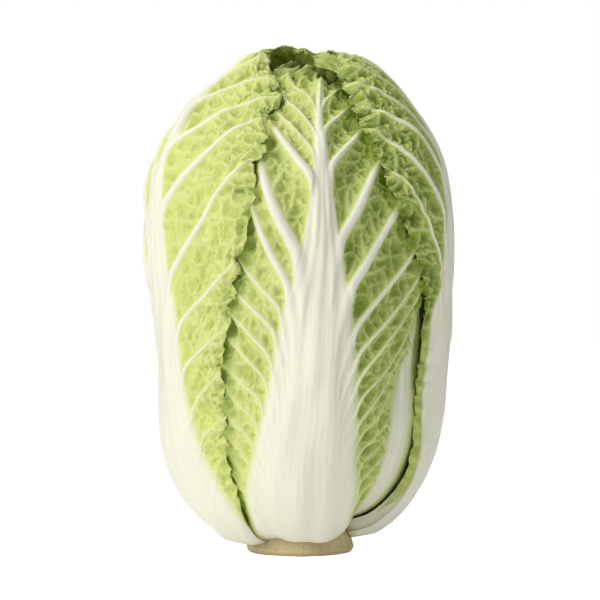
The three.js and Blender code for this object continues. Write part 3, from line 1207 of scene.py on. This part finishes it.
        lobes = np.abs(np.sin(phase / 2 + 0.5)) ** 0.7 + 0.28 * np.abs(np.sin(1.37 * phase + 0.4)) ** 0.7
        spread = look.lobes * vigour * close * (lobes - 0.7) + look.tip_reach * tip * close
        slide = 0.15 * lift * fade * np.cos(phase)
        return out, spread, slide

    def greenness(self, x: Array, y: Array, s: Array, edge: Array, relief: "Relief") -> Array:
        """How deep the blade's green is.

        Args:
            x: millimetres across from the midrib.
            y: millimetres along.
            s: shares of the length.
            edge: millimetres in from the margin.
            relief: the leaf's relief.

        Returns:
            0 for the palest and 1 for the deepest.
        """
        look = self.look
        green = look.green + look.margin_green * np.exp(-edge / 13.0) + look.tip_green * rise(s, 0.72, 0.28)
        green = green - 0.30 * np.exp(-relief.apart / 3.5) - 0.26 * (1.0 - rise(s, 0.1, 0.4))
        green += 0.16 * relief.pillow * (1.0 - relief.rib)
        # painted shade: a deeper green on the right half, the side turned from the light
        green = green + look.right_shade * smooth(x / 40.0 + 0.3)
        return np.clip(green + 0.07 * waves(x, y, 35.0, self.seed + 21), 0.0, 1.0)


@dataclass(frozen=True)
class Relief:
    """A leaf's relief and the masks that go with it."""

    height: Array
    rib: Array
    vein: Array
    apart: Array
    pillow: Array


@dataclass(frozen=True)
class Margin:
    """A leaf's margin as a closely spaced line in its flat coordinates."""

    points: Array
    run: Array
    outward: Array

    @classmethod
    def of(cls, leaf: Leaf) -> "Margin":
        """The margin of a leaf: up its left side, over its tip and down its right side.

        Args:
            leaf: the leaf.

        Returns:
            The margin, with a point every 1.5 mm.
        """
        step, side_points, tip_points, reach = 1.5, 500, 30, 6
        share = np.linspace(0.0, 1.0, side_points)
        y = share * leaf.length
        left = np.stack([-leaf.left.half_width(share) * HEAD.mm_per_degree, y], -1)
        right = np.stack([leaf.right.half_width(share) * HEAD.mm_per_degree, y], -1)
        tip = np.linspace(left[-1], right[-1], tip_points)[1:-1]
        line = np.concatenate([left, tip, right[::-1]])
        run = np.concatenate([[0.0], np.cumsum(np.linalg.norm(np.diff(line, axis=0), axis=1))])
        even = np.linspace(0.0, run[-1], int(run[-1] / step))
        points = np.stack([np.interp(even, run, line[:, k]) for k in (0, 1)], -1)
        heading = unit(np.gradient(points, axis=0))
        outward = np.stack([-heading[:, 1], heading[:, 0]], -1)
        window = np.ones(2 * reach + 1) / (2 * reach + 1)
        padding = np.pad(outward, ((reach, reach), (0, 0)), "edge")
        soft = np.stack([np.convolve(padding[:, k], window, "valid") for k in (0, 1)], -1)
        return cls(points, even, unit(soft))

    def nearest(self, x: Array, y: Array) -> tuple[Array, Array, Array, Array]:
        """The nearest place of the margin to each place of the leaf.

        Args:
            x: millimetres across from the midrib.
            y: millimetres along.

        Returns:
            The distance to it, its run along the margin, and the outward direction there.
        """
        edge, run = np.zeros(x.shape), np.zeros(x.shape)
        out_x, out_y = np.zeros(x.shape), np.zeros(x.shape)
        for row in range(len(x)):
            gap_x = self.points[:, 0][None] - x[row][:, None]
            gap_y = self.points[:, 1][None] - y[row][:, None]
            apart = gap_x**2 + gap_y**2
            best = apart.argmin(axis=1)
            edge[row] = np.sqrt(apart[np.arange(len(best)), best])
            run[row] = self.run[best]
            out_x[row], out_y[row] = self.outward[best, 0], self.outward[best, 1]
        return edge, run, out_x, out_y


def surface_axes(points: Array) -> tuple[Array, Array, Array]:
    """The directions along the rows' course, across the columns' course, and out of a grid of points.

    Args:
        points: the grid, with rows running up the leaf and columns to the right.

    Returns:
        Unit vectors up the leaf, to the right and outwards.
    """
    ahead = np.gradient(points, axis=0)
    aside = unit(np.gradient(points, axis=1))
    normal = unit(np.cross(aside, ahead))
    return unit(np.cross(normal, aside)), aside, normal


def trace(veins: list[Vein], x: Array, y: Array) -> tuple[Array, Array, Array]:
    """The mark that veins leave on a leaf.

    Args:
        veins: the veins.
        x: millimetres across from the midrib.
        y: millimetres along.

    Returns:
        Their height, a mask from 0 to 1, and the distance to the nearest one.
    """
    reach, far_off = 16.0, 99.0
    height, mask = np.zeros(x.shape), np.zeros(x.shape)
    nearest = np.full(x.shape, far_off)
    for vein in veins:
        low, high = vein.points.min(0) - reach, vein.points.max(0) + reach
        inside = (x > low[0]) & (x < high[0]) & (y > low[1]) & (y < high[1])
        if not inside.any():
            continue
        place = np.stack([x[inside], y[inside]], -1)[:, None]
        start, step = vein.points[:-1][None], np.diff(vein.points, axis=0)[None]
        t = np.clip(((place - start) * step).sum(-1) / (step**2).sum(-1), 0.0, 1.0)
        apart = np.linalg.norm(start + step * t[..., None] - place, axis=-1)
        widths = vein.half_widths[:-1] + np.diff(vein.half_widths) * t
        scaled = (apart / widths).min(axis=1)
        width = widths[np.arange(len(apart)), apart.argmin(axis=1)]
        tall = vein.height * (width / vein.half_widths.max()) ** 0.8
        height[inside] = np.maximum(height[inside], tall * np.exp(-((scaled / 1.1) ** 2.4)))
        mask[inside] = np.maximum(mask[inside], 1.0 - rise(scaled, 0.7, 0.7))
        nearest[inside] = np.minimum(nearest[inside], np.maximum(0.0, apart - widths).min(axis=1))
    return height, mask, nearest


def depth_under(covering: list[Leaf], azimuth: Array, along: Array) -> Array:
    """How deep places lie under the leaves outside them.

    Args:
        covering: those leaves.
        azimuth: degrees.
        along: millimetres.

    Returns:
        Millimetres in from the nearest covering margin; less than zero in the open.
    """
    deepest = np.full(azimuth.shape, -99.0)
    for leaf in covering:
        sideways, own_along = HEAD.to_leaf(leaf.azimuth, azimuth, along)
        share = np.clip(own_along / leaf.length, 0.0, 1.0)
        offset = sideways - leaf.midrib(share)
        inside = (leaf.half_width(share, offset) - np.abs(offset)) * HEAD.mm_per_degree
        deepest = np.maximum(deepest, np.minimum(inside, leaf.length - own_along))
    return deepest


def settled_height(z: Array) -> Array:
    """Heights with the leaf bases drawn up a little from the floor, and the crown pressed down."""
    low, high, give = 9.0, 273.0, 5.0
    z = np.where(z < low, low - (low - z) * 0.5, z)
    return np.where(z > high, high + give * np.log1p(np.maximum(z - high, 0.0) / give), z)


# ---- Heart and stem --------------------------------------------------------------------------------------
@dataclass
class Heart:
    """The tight bud in the middle: small pale leaves folded over one another."""

    node: str = "heart"
    folds: int = 7
    fold_depth: float = 2.2
    fold_edge: float = 0.16  # share of a fold's width over which its edge rises
    climb: float = 2.2  # folds that a line straight up the bud crosses
    pucker: float = 0.5
    columns: int = 168
    rows: int = 120

    def build(self) -> Turned:
        """Works out the bud just inside its solid."""
        low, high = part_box(self.node)
        radius, bottom, top = high.x / MM, low.z / MM, high.z / MM
        turn = np.linspace(0.0, 2 * math.pi, self.columns, endpoint=False)
        a, s = np.meshgrid(turn, np.linspace(0.01, 0.99, self.rows))
        belly = np.sin(s * math.pi) ** 0.42 * mix(0.9, 1.0, s)
        spiral = (a / (2 * math.pi) * self.folds + self.climb * s) % 1.0
        lap = self.fold_depth * (smooth(spiral / self.fold_edge) - spiral) * np.sin(s * math.pi)
        flat_x, flat_y = radius * np.sin(a), radius * np.cos(a) + s * (top - bottom)
        pucker = self.pucker * waves(flat_x, flat_y, 14.0, 5) * np.sin(s * math.pi)
        r = np.maximum(0.4, (radius - self.fold_depth) * belly + lap + pucker)
        z = mix(bottom + 0.4, top - 0.4, 0.5 - 0.5 * np.cos(s * math.pi))
        flat = np.zeros_like(a)
        attributes = {
            "rib": 0.75 - 0.6 * rise(s, 0.2, 0.5),
            "shade": flat,
            "vein": 0.4 * np.exp(-((spiral / 0.1) ** 2)),
            "green": 0.02 + flat,
            "place": np.stack([flat_x, flat_y, flat], -1),
        }
        return Turned(self.node + "_skin", np.stack([r * np.sin(a), -r * np.cos(a), z], -1), attributes)


@dataclass
class Stem:
    """The cut stem that the head stands on."""

    node: str = "stem"
    columns: int = 160
    foot: float = 27.5  # radius of the cut face
    raggedness: float = 0.6  # how far the cut's edge is broken away
    unevenness: float = 0.22  # how far the cut face rises and falls

    def profile(self) -> list[tuple[float, float, float]]:
        """Radius, height and browning from the middle of the cut face round to the top."""
        low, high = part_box(self.node)
        top, shoulder, foot = high.z / MM, high.x / MM, self.foot
        tip, dome, steps, shoulder_z, neck = 0.3, 0.55, 14, 3.2, 13.0
        points = [(tip, dome, 0.1)]
        for share in (k / steps for k in range(1, steps)):
            points.append((foot * share, dome * (1.0 - share**3), 0.1 + 0.12 * share))
        points += [(foot, 0.05, 0.5), (foot + 0.9, 0.25, 0.62), (foot + 1.6, 0.9, 0.5)]
        for t in (0.0, 0.5, 1.0):
            points.append((mix(foot + 2.0, shoulder, t), mix(1.4, shoulder_z, t), 0.3 * (1 - t)))
        slope = (shoulder - neck) / (top - shoulder_z)
        points += [(shoulder - slope * (z - shoulder_z), z, 0.0) for z in np.linspace(4.0, top - tip, 16)]
        points += [(tip, top - tip, 0.0)]
        return points

    def build(self) -> Turned:
        """Works out the stem as a closed skin, rough where it was cut."""
        points = np.array(self.profile())
        turn = np.linspace(0.0, 2 * math.pi, self.columns, endpoint=False)
        a, r = np.meshgrid(turn, points[:, 0])
        z = np.repeat(points[:, 1:2], self.columns, axis=1)
        brown = np.repeat(points[:, 2:3], self.columns, axis=1)
        ragged = 0.35 * (np.sin(5 * a + 0.8) + np.sin(9 * a + 2.0) + 0.7 * np.sin(17 * a)) * smooth(r / 20.0)
        near_cut = 1.0 - smooth(z / 8.0)
        r = np.maximum(0.25, r + self.raggedness * (ragged - 1.0) * near_cut * smooth(r / 20.0))
        swells = self.unevenness * (1.0 + np.sin(3 * a) * np.cos(7 * a))
        z = z + swells * near_cut * smooth(r / 10.0) * (r < self.foot - 0.5)
        rings = np.stack([r * np.sin(a), -r * np.cos(a), z], -1)
        return Turned(self.node + "_skin", rings, {"browning": brown})


@dataclass
class FibreEnds:
    """The cut ends of the stem's fibres: small domes scattered over its cut face by Geometry Nodes."""

    node: str = "stem"
    spread: float = 22.0  # radius of the scattered disc
    spacing: float = 3.2
    size: float = 0.8  # radius of a dome
    height: float = 0.6  # height of the domes' middles
    flatness: float = 0.5  # height of a dome against its width
    density: float = 3.0e5  # most domes in a square metre before the spacing thins them
    scales: tuple[float, float] = (0.55, 1.1)
    facets: tuple[int, int] = (12, 8)
    browning: float = 0.15
    seed: int = 4

    def group(self) -> bpy.types.NodeTree:
        """The node group that scatters one dome over a disc."""
        tree = bpy.data.node_groups.new("scattered_fibre_ends", "GeometryNodeTree")
        kinds = {"Spread": "Float", "Spacing": "Float", "Size": "Float", "Seed": "Int", "Finish": "Material"}
        for name, kind in kinds.items():
            tree.interface.new_socket(name=name, in_out="INPUT", socket_type="NodeSocket" + kind)
        tree.interface.new_socket(name="Geometry", in_out="OUTPUT", socket_type="NodeSocketGeometry")
        given = tree.nodes.new("NodeGroupInput").outputs
        disc = tree.nodes.new("GeometryNodeMeshCircle")
        disc.fill_type = "NGON"
        scatter = tree.nodes.new("GeometryNodeDistributePointsOnFaces")
        scatter.distribute_method = "POISSON"
        scatter.inputs["Density Max"].default_value = self.density
        dome = tree.nodes.new("GeometryNodeMeshUVSphere")
        dome.inputs["Segments"].default_value, dome.inputs["Rings"].default_value = self.facets
        chance = tree.nodes.new("FunctionNodeRandomValue")
        chance.inputs[2].default_value, chance.inputs[3].default_value = self.scales
        stand = tree.nodes.new("GeometryNodeInstanceOnPoints")
        real = tree.nodes.new("GeometryNodeRealizeInstances")
        dress = tree.nodes.new("GeometryNodeSetMaterial")
        output = tree.nodes.new("NodeGroupOutput")
        for start, end in (
            (given["Spread"], disc.inputs["Radius"]),
            (disc.outputs["Mesh"], scatter.inputs["Mesh"]),
            (given["Spacing"], scatter.inputs["Distance Min"]),
            (given["Seed"], scatter.inputs["Seed"]),
            (given["Size"], dome.inputs["Radius"]),
            (given["Seed"], chance.inputs["Seed"]),
            (scatter.outputs["Points"], stand.inputs["Points"]),
            (dome.outputs["Mesh"], stand.inputs["Instance"]),
            (chance.outputs[1], stand.inputs["Scale"]),
            (stand.outputs["Instances"], real.inputs["Geometry"]),
            (real.outputs["Geometry"], dress.inputs["Geometry"]),
            (given["Finish"], dress.inputs["Material"]),
            (dress.outputs["Geometry"], output.inputs["Geometry"]),
        ):
            tree.links.new(start, end)
        return tree

    def build(self, finish: bpy.types.Material) -> bpy.types.Object:
        """Runs the node group and keeps its result as a plain mesh on the cut face.

        Args:
            finish: the material of the fibre ends.

        Returns:
            The piece.
        """
        holder = link("fibre_holder", bpy.data.meshes.new("fibre_holder"))
        tree = self.group()
        modifier = holder.modifiers.new("scatter", "NODES")
        modifier.node_group = tree
        values = {
            "Spread": self.spread * MM, "Spacing": self.spacing * MM, "Size": self.size * MM,
            "Seed": self.seed, "Finish": finish,
        }
        for item in tree.interface.items_tree:
            if item.in_out == "INPUT":
                modifier[item.identifier] = values[item.name]
        bpy.context.view_layer.update()
        evaluated = holder.evaluated_get(bpy.context.evaluated_depsgraph_get())
        mesh = bpy.data.meshes.new_from_object(evaluated)
        bpy.data.objects.remove(holder)
        points = np.empty(len(mesh.vertices) * 3, dtype=np.float32)
        mesh.vertices.foreach_get("co", points)
        points = points.reshape(-1, 3)
        points[:, 2] = points[:, 2] * self.flatness + self.height * MM
        mesh.vertices.foreach_set("co", points.ravel())
        mesh.polygons.foreach_set("use_smooth", np.ones(len(mesh.polygons), dtype=bool))
        add_attribute(mesh, "browning", np.full(len(mesh.vertices), self.browning))
        mesh.update()
        return link(self.node + "_fibre_ends", mesh)


# ---- The head --------------------------------------------------------------------------------------------
def veins_at(*rows: tuple[float, float, float, float]) -> tuple[SideVein, ...]:
    """Side veins from a table.

    Args:
        *rows: for each vein a share of the length, two widths in millimetres and an angle in degrees.

    Returns:
        The side veins in the same order.
    """
    return tuple(SideVein(*row) for row in rows)


FRONT_LEFT_VEINS = veins_at(
    (0.14, 0.9, 0.5, 46), (0.17, 1.0, 0.5, 48), (0.20, 1.0, 0.6, 50), (0.235, 1.1, 0.6, 52),
    (0.27, 1.2, 0.6, 53), (0.305, 1.4, 0.7, 54), (0.34, 1.6, 0.7, 54), (0.38, 1.9, 0.8, 54),
    (0.42, 2.3, 1.0, 53), (0.458, 2.2, 1.0, 46), (0.497, 4.4, 1.6, 32), (0.54, 6.8, 2.4, 29),
    (0.672, 5.6, 1.9, 36), (0.735, 2.0, 1.0, 38), (0.79, 2.4, 1.2, 34), (0.87, 1.6, 0.8, 32),
)
FRONT_RIGHT_VEINS = veins_at(
    (0.12, 0.9, 0.5, 44), (0.15, 1.0, 0.5, 46), (0.18, 1.0, 0.5, 47), (0.21, 1.1, 0.6, 48),
    (0.24, 1.2, 0.6, 48), (0.272, 1.4, 0.6, 48), (0.306, 1.6, 0.7, 48), (0.342, 1.9, 0.8, 48),
    (0.38, 2.5, 1.0, 47), (0.424, 3.7, 1.4, 45), (0.494, 5.6, 2.2, 42), (0.573, 5.8, 2.8, 37),
    (0.70, 4.4, 2.2, 36), (0.80, 3.2, 1.4, 34), (0.88, 1.8, 0.8, 32),
)
PALE_RIGHT_VEINS = veins_at(
    (0.18, 1.6, 0.8, 50), (0.235, 1.8, 0.8, 50), (0.29, 2.0, 1.0, 50), (0.353, 2.6, 1.1, 50),
    (0.425, 3.2, 1.4, 50), (0.512, 4.6, 1.8, 46), (0.63, 5.6, 2.0, 46), (0.74, 4.6, 1.8, 44),
    (0.84, 3.0, 1.2, 42), (0.91, 2.0, 1.0, 40),
)
CRINKLED_LEFT_VEINS = veins_at(
    (0.52, 2.6, 1.2, 44), (0.58, 4.6, 1.8, 42), (0.66, 5.0, 2.0, 40), (0.74, 4.0, 1.6, 38),
    (0.82, 2.6, 1.2, 36), (0.9, 1.8, 0.9, 34),
)

PALE_LOOK = Look(
    green=0.03, margin_green=0.16, tip_green=0.2, frill=2.0, frill_pitch=21.0, frill_depth=10.0, lobes=6.0,
    hug=1.4, rib_scale=1.1, crinkle=2.1,
)
CRINKLED_LOOK = Look(
    green=0.84, margin_green=0.0, tip_green=-0.1, frill=3.4, frill_pitch=15.0, frill_depth=10.0, crinkle=2.6,
    cell=8.0, quilting=1.0, hug=3.0, lobes=4.2, wing=4.0, nerve=0.38, tip_reach=4.0,
)
BACK_LOOK = Look(
    green=0.42, margin_green=0.2, tip_green=0.2, frill=2.6, frill_pitch=15.0, frill_depth=11.0,
    tip_curl=-2.0, tip_reach=6.0, lobes=5.0, crown=1.0,
)
CROWN_LOOK = Look(
    green=0.45, margin_green=0.15, tip_green=0.2, frill=3.0, frill_pitch=17.0, frill_depth=9.0, tip_curl=2.5,
    tip_reach=2.0, lobes=5.0, hug=0.0, crown=1.0,
)
FRONT_LOOK = Look(
    green=0.32, margin_green=0.08, tip_green=0.0, right_shade=0.4, quilting=2.9, hug=0.9, frill=2.0,
    frill_pitch=15.0, lobes=4.4, tip_reach=4.0, nerve=0.36, crinkle=1.9,
)
CENTRE_LOOK = Look(
    green=0.42, frill=4.5, frill_pitch=14.0, tip_green=0.15, hug=0.0, tip_curl=3.0, tip_reach=4.0, lobes=4.0,
    crown=1.0,
)
SECOND_LOOK = Look(green=0.42, frill=3.0, tip_green=0.35, hug=0.8)
INNER_LOOK = Look(green=0.06, margin_green=0.1, frill=1.6, quilting=0.8, crinkle=0.4, hug=0.6, tip_green=0.1)


OUTER_FINISH = LeafFinish("outer_leaf")
INNER_FINISH = LeafFinish(
    "inner_leaf",
    vein=(0.82, 0.82, 0.55, 1.0),
    pale=(0.80, 0.80, 0.38, 1.0),
    deep=(0.50, 0.60, 0.12, 1.0),
)


def outer_leaves() -> list[Leaf]:
    """The ten leaves of the two outer rings, from the outermost in."""
    narrow = Side(34, 34, 54, 0.3, 0.6)
    full = Side(38, 42, 64, 0.3, 0.6)
    return [
        Leaf(
            "leaf_01_right", Ring.OUTER, 80, 0, 74, Side(14, 16, 42, 0.44, 0.72), full, CRINKLED_LOOK,
            CRINKLED_LEFT_VEINS, flare=0.5, settling=-7.5,
        ),
        Leaf(
            "leaf_02_left", Ring.OUTER, -68, -2, 75, replace(full, span=62), Side(35, 36, 50, 0.35, 0.66),
            PALE_LOOK, right_veins=PALE_RIGHT_VEINS, crowd=(-0.4, 1.0), settling=2.5,
        ),
        Leaf("leaf_03_back_right", Ring.OUTER, 150, 0, 96, look=CROWN_LOOK, settling=-5.0),
        Leaf(
            "leaf_04_front", Ring.OUTER, 0, 9, 74, Side(44, 44, 66, 0.3, 0.6), Side(40, 40, 62, 0.3, 0.56),
            FRONT_LOOK, FRONT_LEFT_VEINS, FRONT_RIGHT_VEINS, crowd=(-0.62, 1.0), flare=0.3, settling=-3.0,
        ),
        Leaf("leaf_05_back_left", Ring.OUTER, -138, 0, 86, look=BACK_LOOK),
        Leaf(
            "leaf_06_right", Ring.SECOND, 56, 0, 74, narrow, replace(narrow, foot=38, waist=40), SECOND_LOOK,
        ),
        Leaf("leaf_07_left", Ring.SECOND, -84, 0, 80, look=SECOND_LOOK),
        Leaf("leaf_08_back_right", Ring.SECOND, 130, 0, 88, look=SECOND_LOOK),
        Leaf("leaf_09_front", Ring.SECOND, -14, 0, 86, look=CENTRE_LOOK, settling=-5.0),
        Leaf("leaf_10_back_left", Ring.SECOND, -158, 0, 82, look=SECOND_LOOK),
    ]


def inner_leaves() -> list[Leaf]:
    """The two inner rings, each leaf two fifths of a turn from the one before it."""
    turn, first, drift, ring = -144.0, 48.0, 17.0, 5
    reaches = (60.0, 70.0, 64.0, 74.0, 67.0)
    made = []
    for i in range(10):
        azimuth = first + turn * i + drift * (i // ring)
        made.append(Leaf(f"leaf_{i + 11}_inner", Ring.INNER, azimuth, 0, reaches[i % ring], look=INNER_LOOK))
    return made


@dataclass
class Head:
    """The whole head: leaves, heart and stem, and their finishes."""

    leaves: list[Leaf] = field(default_factory=lambda: outer_leaves() + inner_leaves())
    heart: Heart = field(default_factory=Heart)
    stem: Stem = field(default_factory=Stem)
    fibres: FibreEnds = field(default_factory=FibreEnds)

    def place(self, piece: bpy.types.Object, node: str, slot: str) -> None:
        """Ties a piece to the body, hides its solid, and logs how far the piece reaches past that solid.

        Args:
            piece: the finished piece.
            node: the solid that it stands for.
            slot: not used.
        """
        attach(piece, BODY)
        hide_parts(node)
        low, high = (np.array(corner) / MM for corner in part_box(node))
        points = np.array([corner[:] for corner in piece.bound_box]) / MM
        past = max((low - points.min(0)).max(), (points.max(0) - high).max())
        log.info("%s: %d faces, %.1f mm past its solid", piece.name, len(piece.data.polygons), past)

    def build(self) -> None:
        """Builds every piece of the head."""
        outer = OUTER_FINISH.material()
        pale = INNER_FINISH.material()
        for order, leaf in enumerate(self.leaves):
            inner = leaf.ring is Ring.INNER
            piece = leaf.build(self.leaves[:order]).build(pale if inner else outer)
            self.place(piece, leaf.node, "inner_leaf" if inner else "outer_leaf")
        self.place(self.heart.build().build(pale), "heart", "heart")
        butt = ButtFinish().material()
        self.place(self.stem.build().build(butt), "stem", "stem")
        self.place(self.fibres.build(butt), "stem", "stem")


# ---- Studio ----------------------------------------------------------------------------------------------
@dataclass(frozen=True)
class Lamp:
    """A soft rectangular light that faces the head."""

    name: str
    place: tuple[float, float, float]
    size: float
    power: float
    colour: tuple[float, float, float] = (1.0, 1.0, 1.0)

    def build(self, target: Vector) -> None:
        """Adds the light, turned to a target.

        Args:
            target: the place that it faces, in metres.
        """
        data = bpy.data.lights.new(self.name, "AREA")
        data.size = self.size
        data.energy = self.power
        data.color = self.colour
        lamp = bpy.data.objects.new(self.name, data)
        lamp.location = self.place
        lamp.rotation_euler = (target - Vector(self.place)).to_track_quat("-Z", "Y").to_euler()
        bpy.context.scene.collection.objects.link(lamp)


@dataclass(frozen=True)
class Studio:
    """A plain white room: floor, soft lights and camera."""

    camera_distance: float = 1.25
    camera_height: float = 0.1395
    lens: float = 135.0
    lamps: tuple[Lamp, ...] = (
        Lamp("key", (-1.25, -1.05, 0.95), 0.8, 16.5, (1.0, 0.98, 0.96)),
        Lamp("fill", (0.5, -1.7, 0.25), 1.0, 2.6),
        Lamp("top", (-0.2, 0.1, 1.5), 1.0, 8.0),
    )
    ambient: float = 0.29
    floor_half: float = 6.0
    floor_shine: float = 0.75  # how much brighter the floor is to the camera than to the head
    floor_glow: float = 0.2

    def build(self) -> None:
        """Adds the camera, the floor, the lights and the surroundings."""
        scene = bpy.context.scene
        data = bpy.data.cameras.new("camera")
        data.lens = self.lens
        camera = bpy.data.objects.new("camera", data)
        camera.location = (0.0, -self.camera_distance, self.camera_height)
        camera.rotation_euler = (math.pi / 2, 0.0, 0.0)
        scene.collection.objects.link(camera)
        scene.camera = camera
        for lamp in self.lamps:
            lamp.build(Vector((0.0, 0.0, self.camera_height)))
        self.floor()
        self.surroundings()
        scene.view_settings.view_transform = "Standard"

    def floor(self) -> None:
        """Adds the pale floor."""
        half = self.floor_half
        corners = np.array([(-half, -half, 0.0), (half, -half, 0.0), (half, half, 0.0), (-half, half, 0.0)])
        floor = link("floor", polygon_mesh("floor", corners, (np.array([[0, 1, 2, 3]]),)))
        s = Shader.named("floor_paint")
        grain = s.node("TexNoise", Vector=s.node("TexCoord").outputs["Object"], Scale=3.0)
        tone = s.blend(grain.outputs["Fac"], (0.90, 0.90, 0.90, 1.0), (0.93, 0.93, 0.93, 1.0))
        seen = s.node("LightPath").outputs["Is Camera Ray"]
        shine = s.maths("MULTIPLY_ADD", seen, self.floor_shine, self.floor_glow)
        paint = s.finish(Base_Color=tone, Roughness=0.9, Emission_Color=tone, Emission_Strength=shine)
        floor.data.materials.append(paint)

    def surroundings(self) -> None:
        """White surroundings that light the head less than they shine in view."""
        world = bpy.data.worlds.new("studio")
        bpy.context.scene.world = world
        world.use_nodes = True
        tree = world.node_tree
        tree.nodes.clear()
        seen, lit = tree.nodes.new("ShaderNodeBackground"), tree.nodes.new("ShaderNodeBackground")
        seen.inputs["Color"].default_value = (1.0, 1.0, 1.0, 1.0)
        lit.inputs["Color"].default_value = (1.0, 1.0, 1.0, 1.0)
        lit.inputs["Strength"].default_value = self.ambient
        path, choice = tree.nodes.new("ShaderNodeLightPath"), tree.nodes.new("ShaderNodeMixShader")
        output = tree.nodes.new("ShaderNodeOutputWorld")
        tree.links.new(path.outputs["Is Camera Ray"], choice.inputs[0])
        tree.links.new(lit.outputs[0], choice.inputs[1])
        tree.links.new(seen.outputs[0], choice.inputs[2])
        tree.links.new(choice.outputs[0], output.inputs[0])


def main() -> None:
    """Builds the studio and the head."""
    logging.basicConfig(level=logging.INFO, format="%(message)s")
    Studio().build()
    Head().build()


if __name__ == "__main__":
    main()
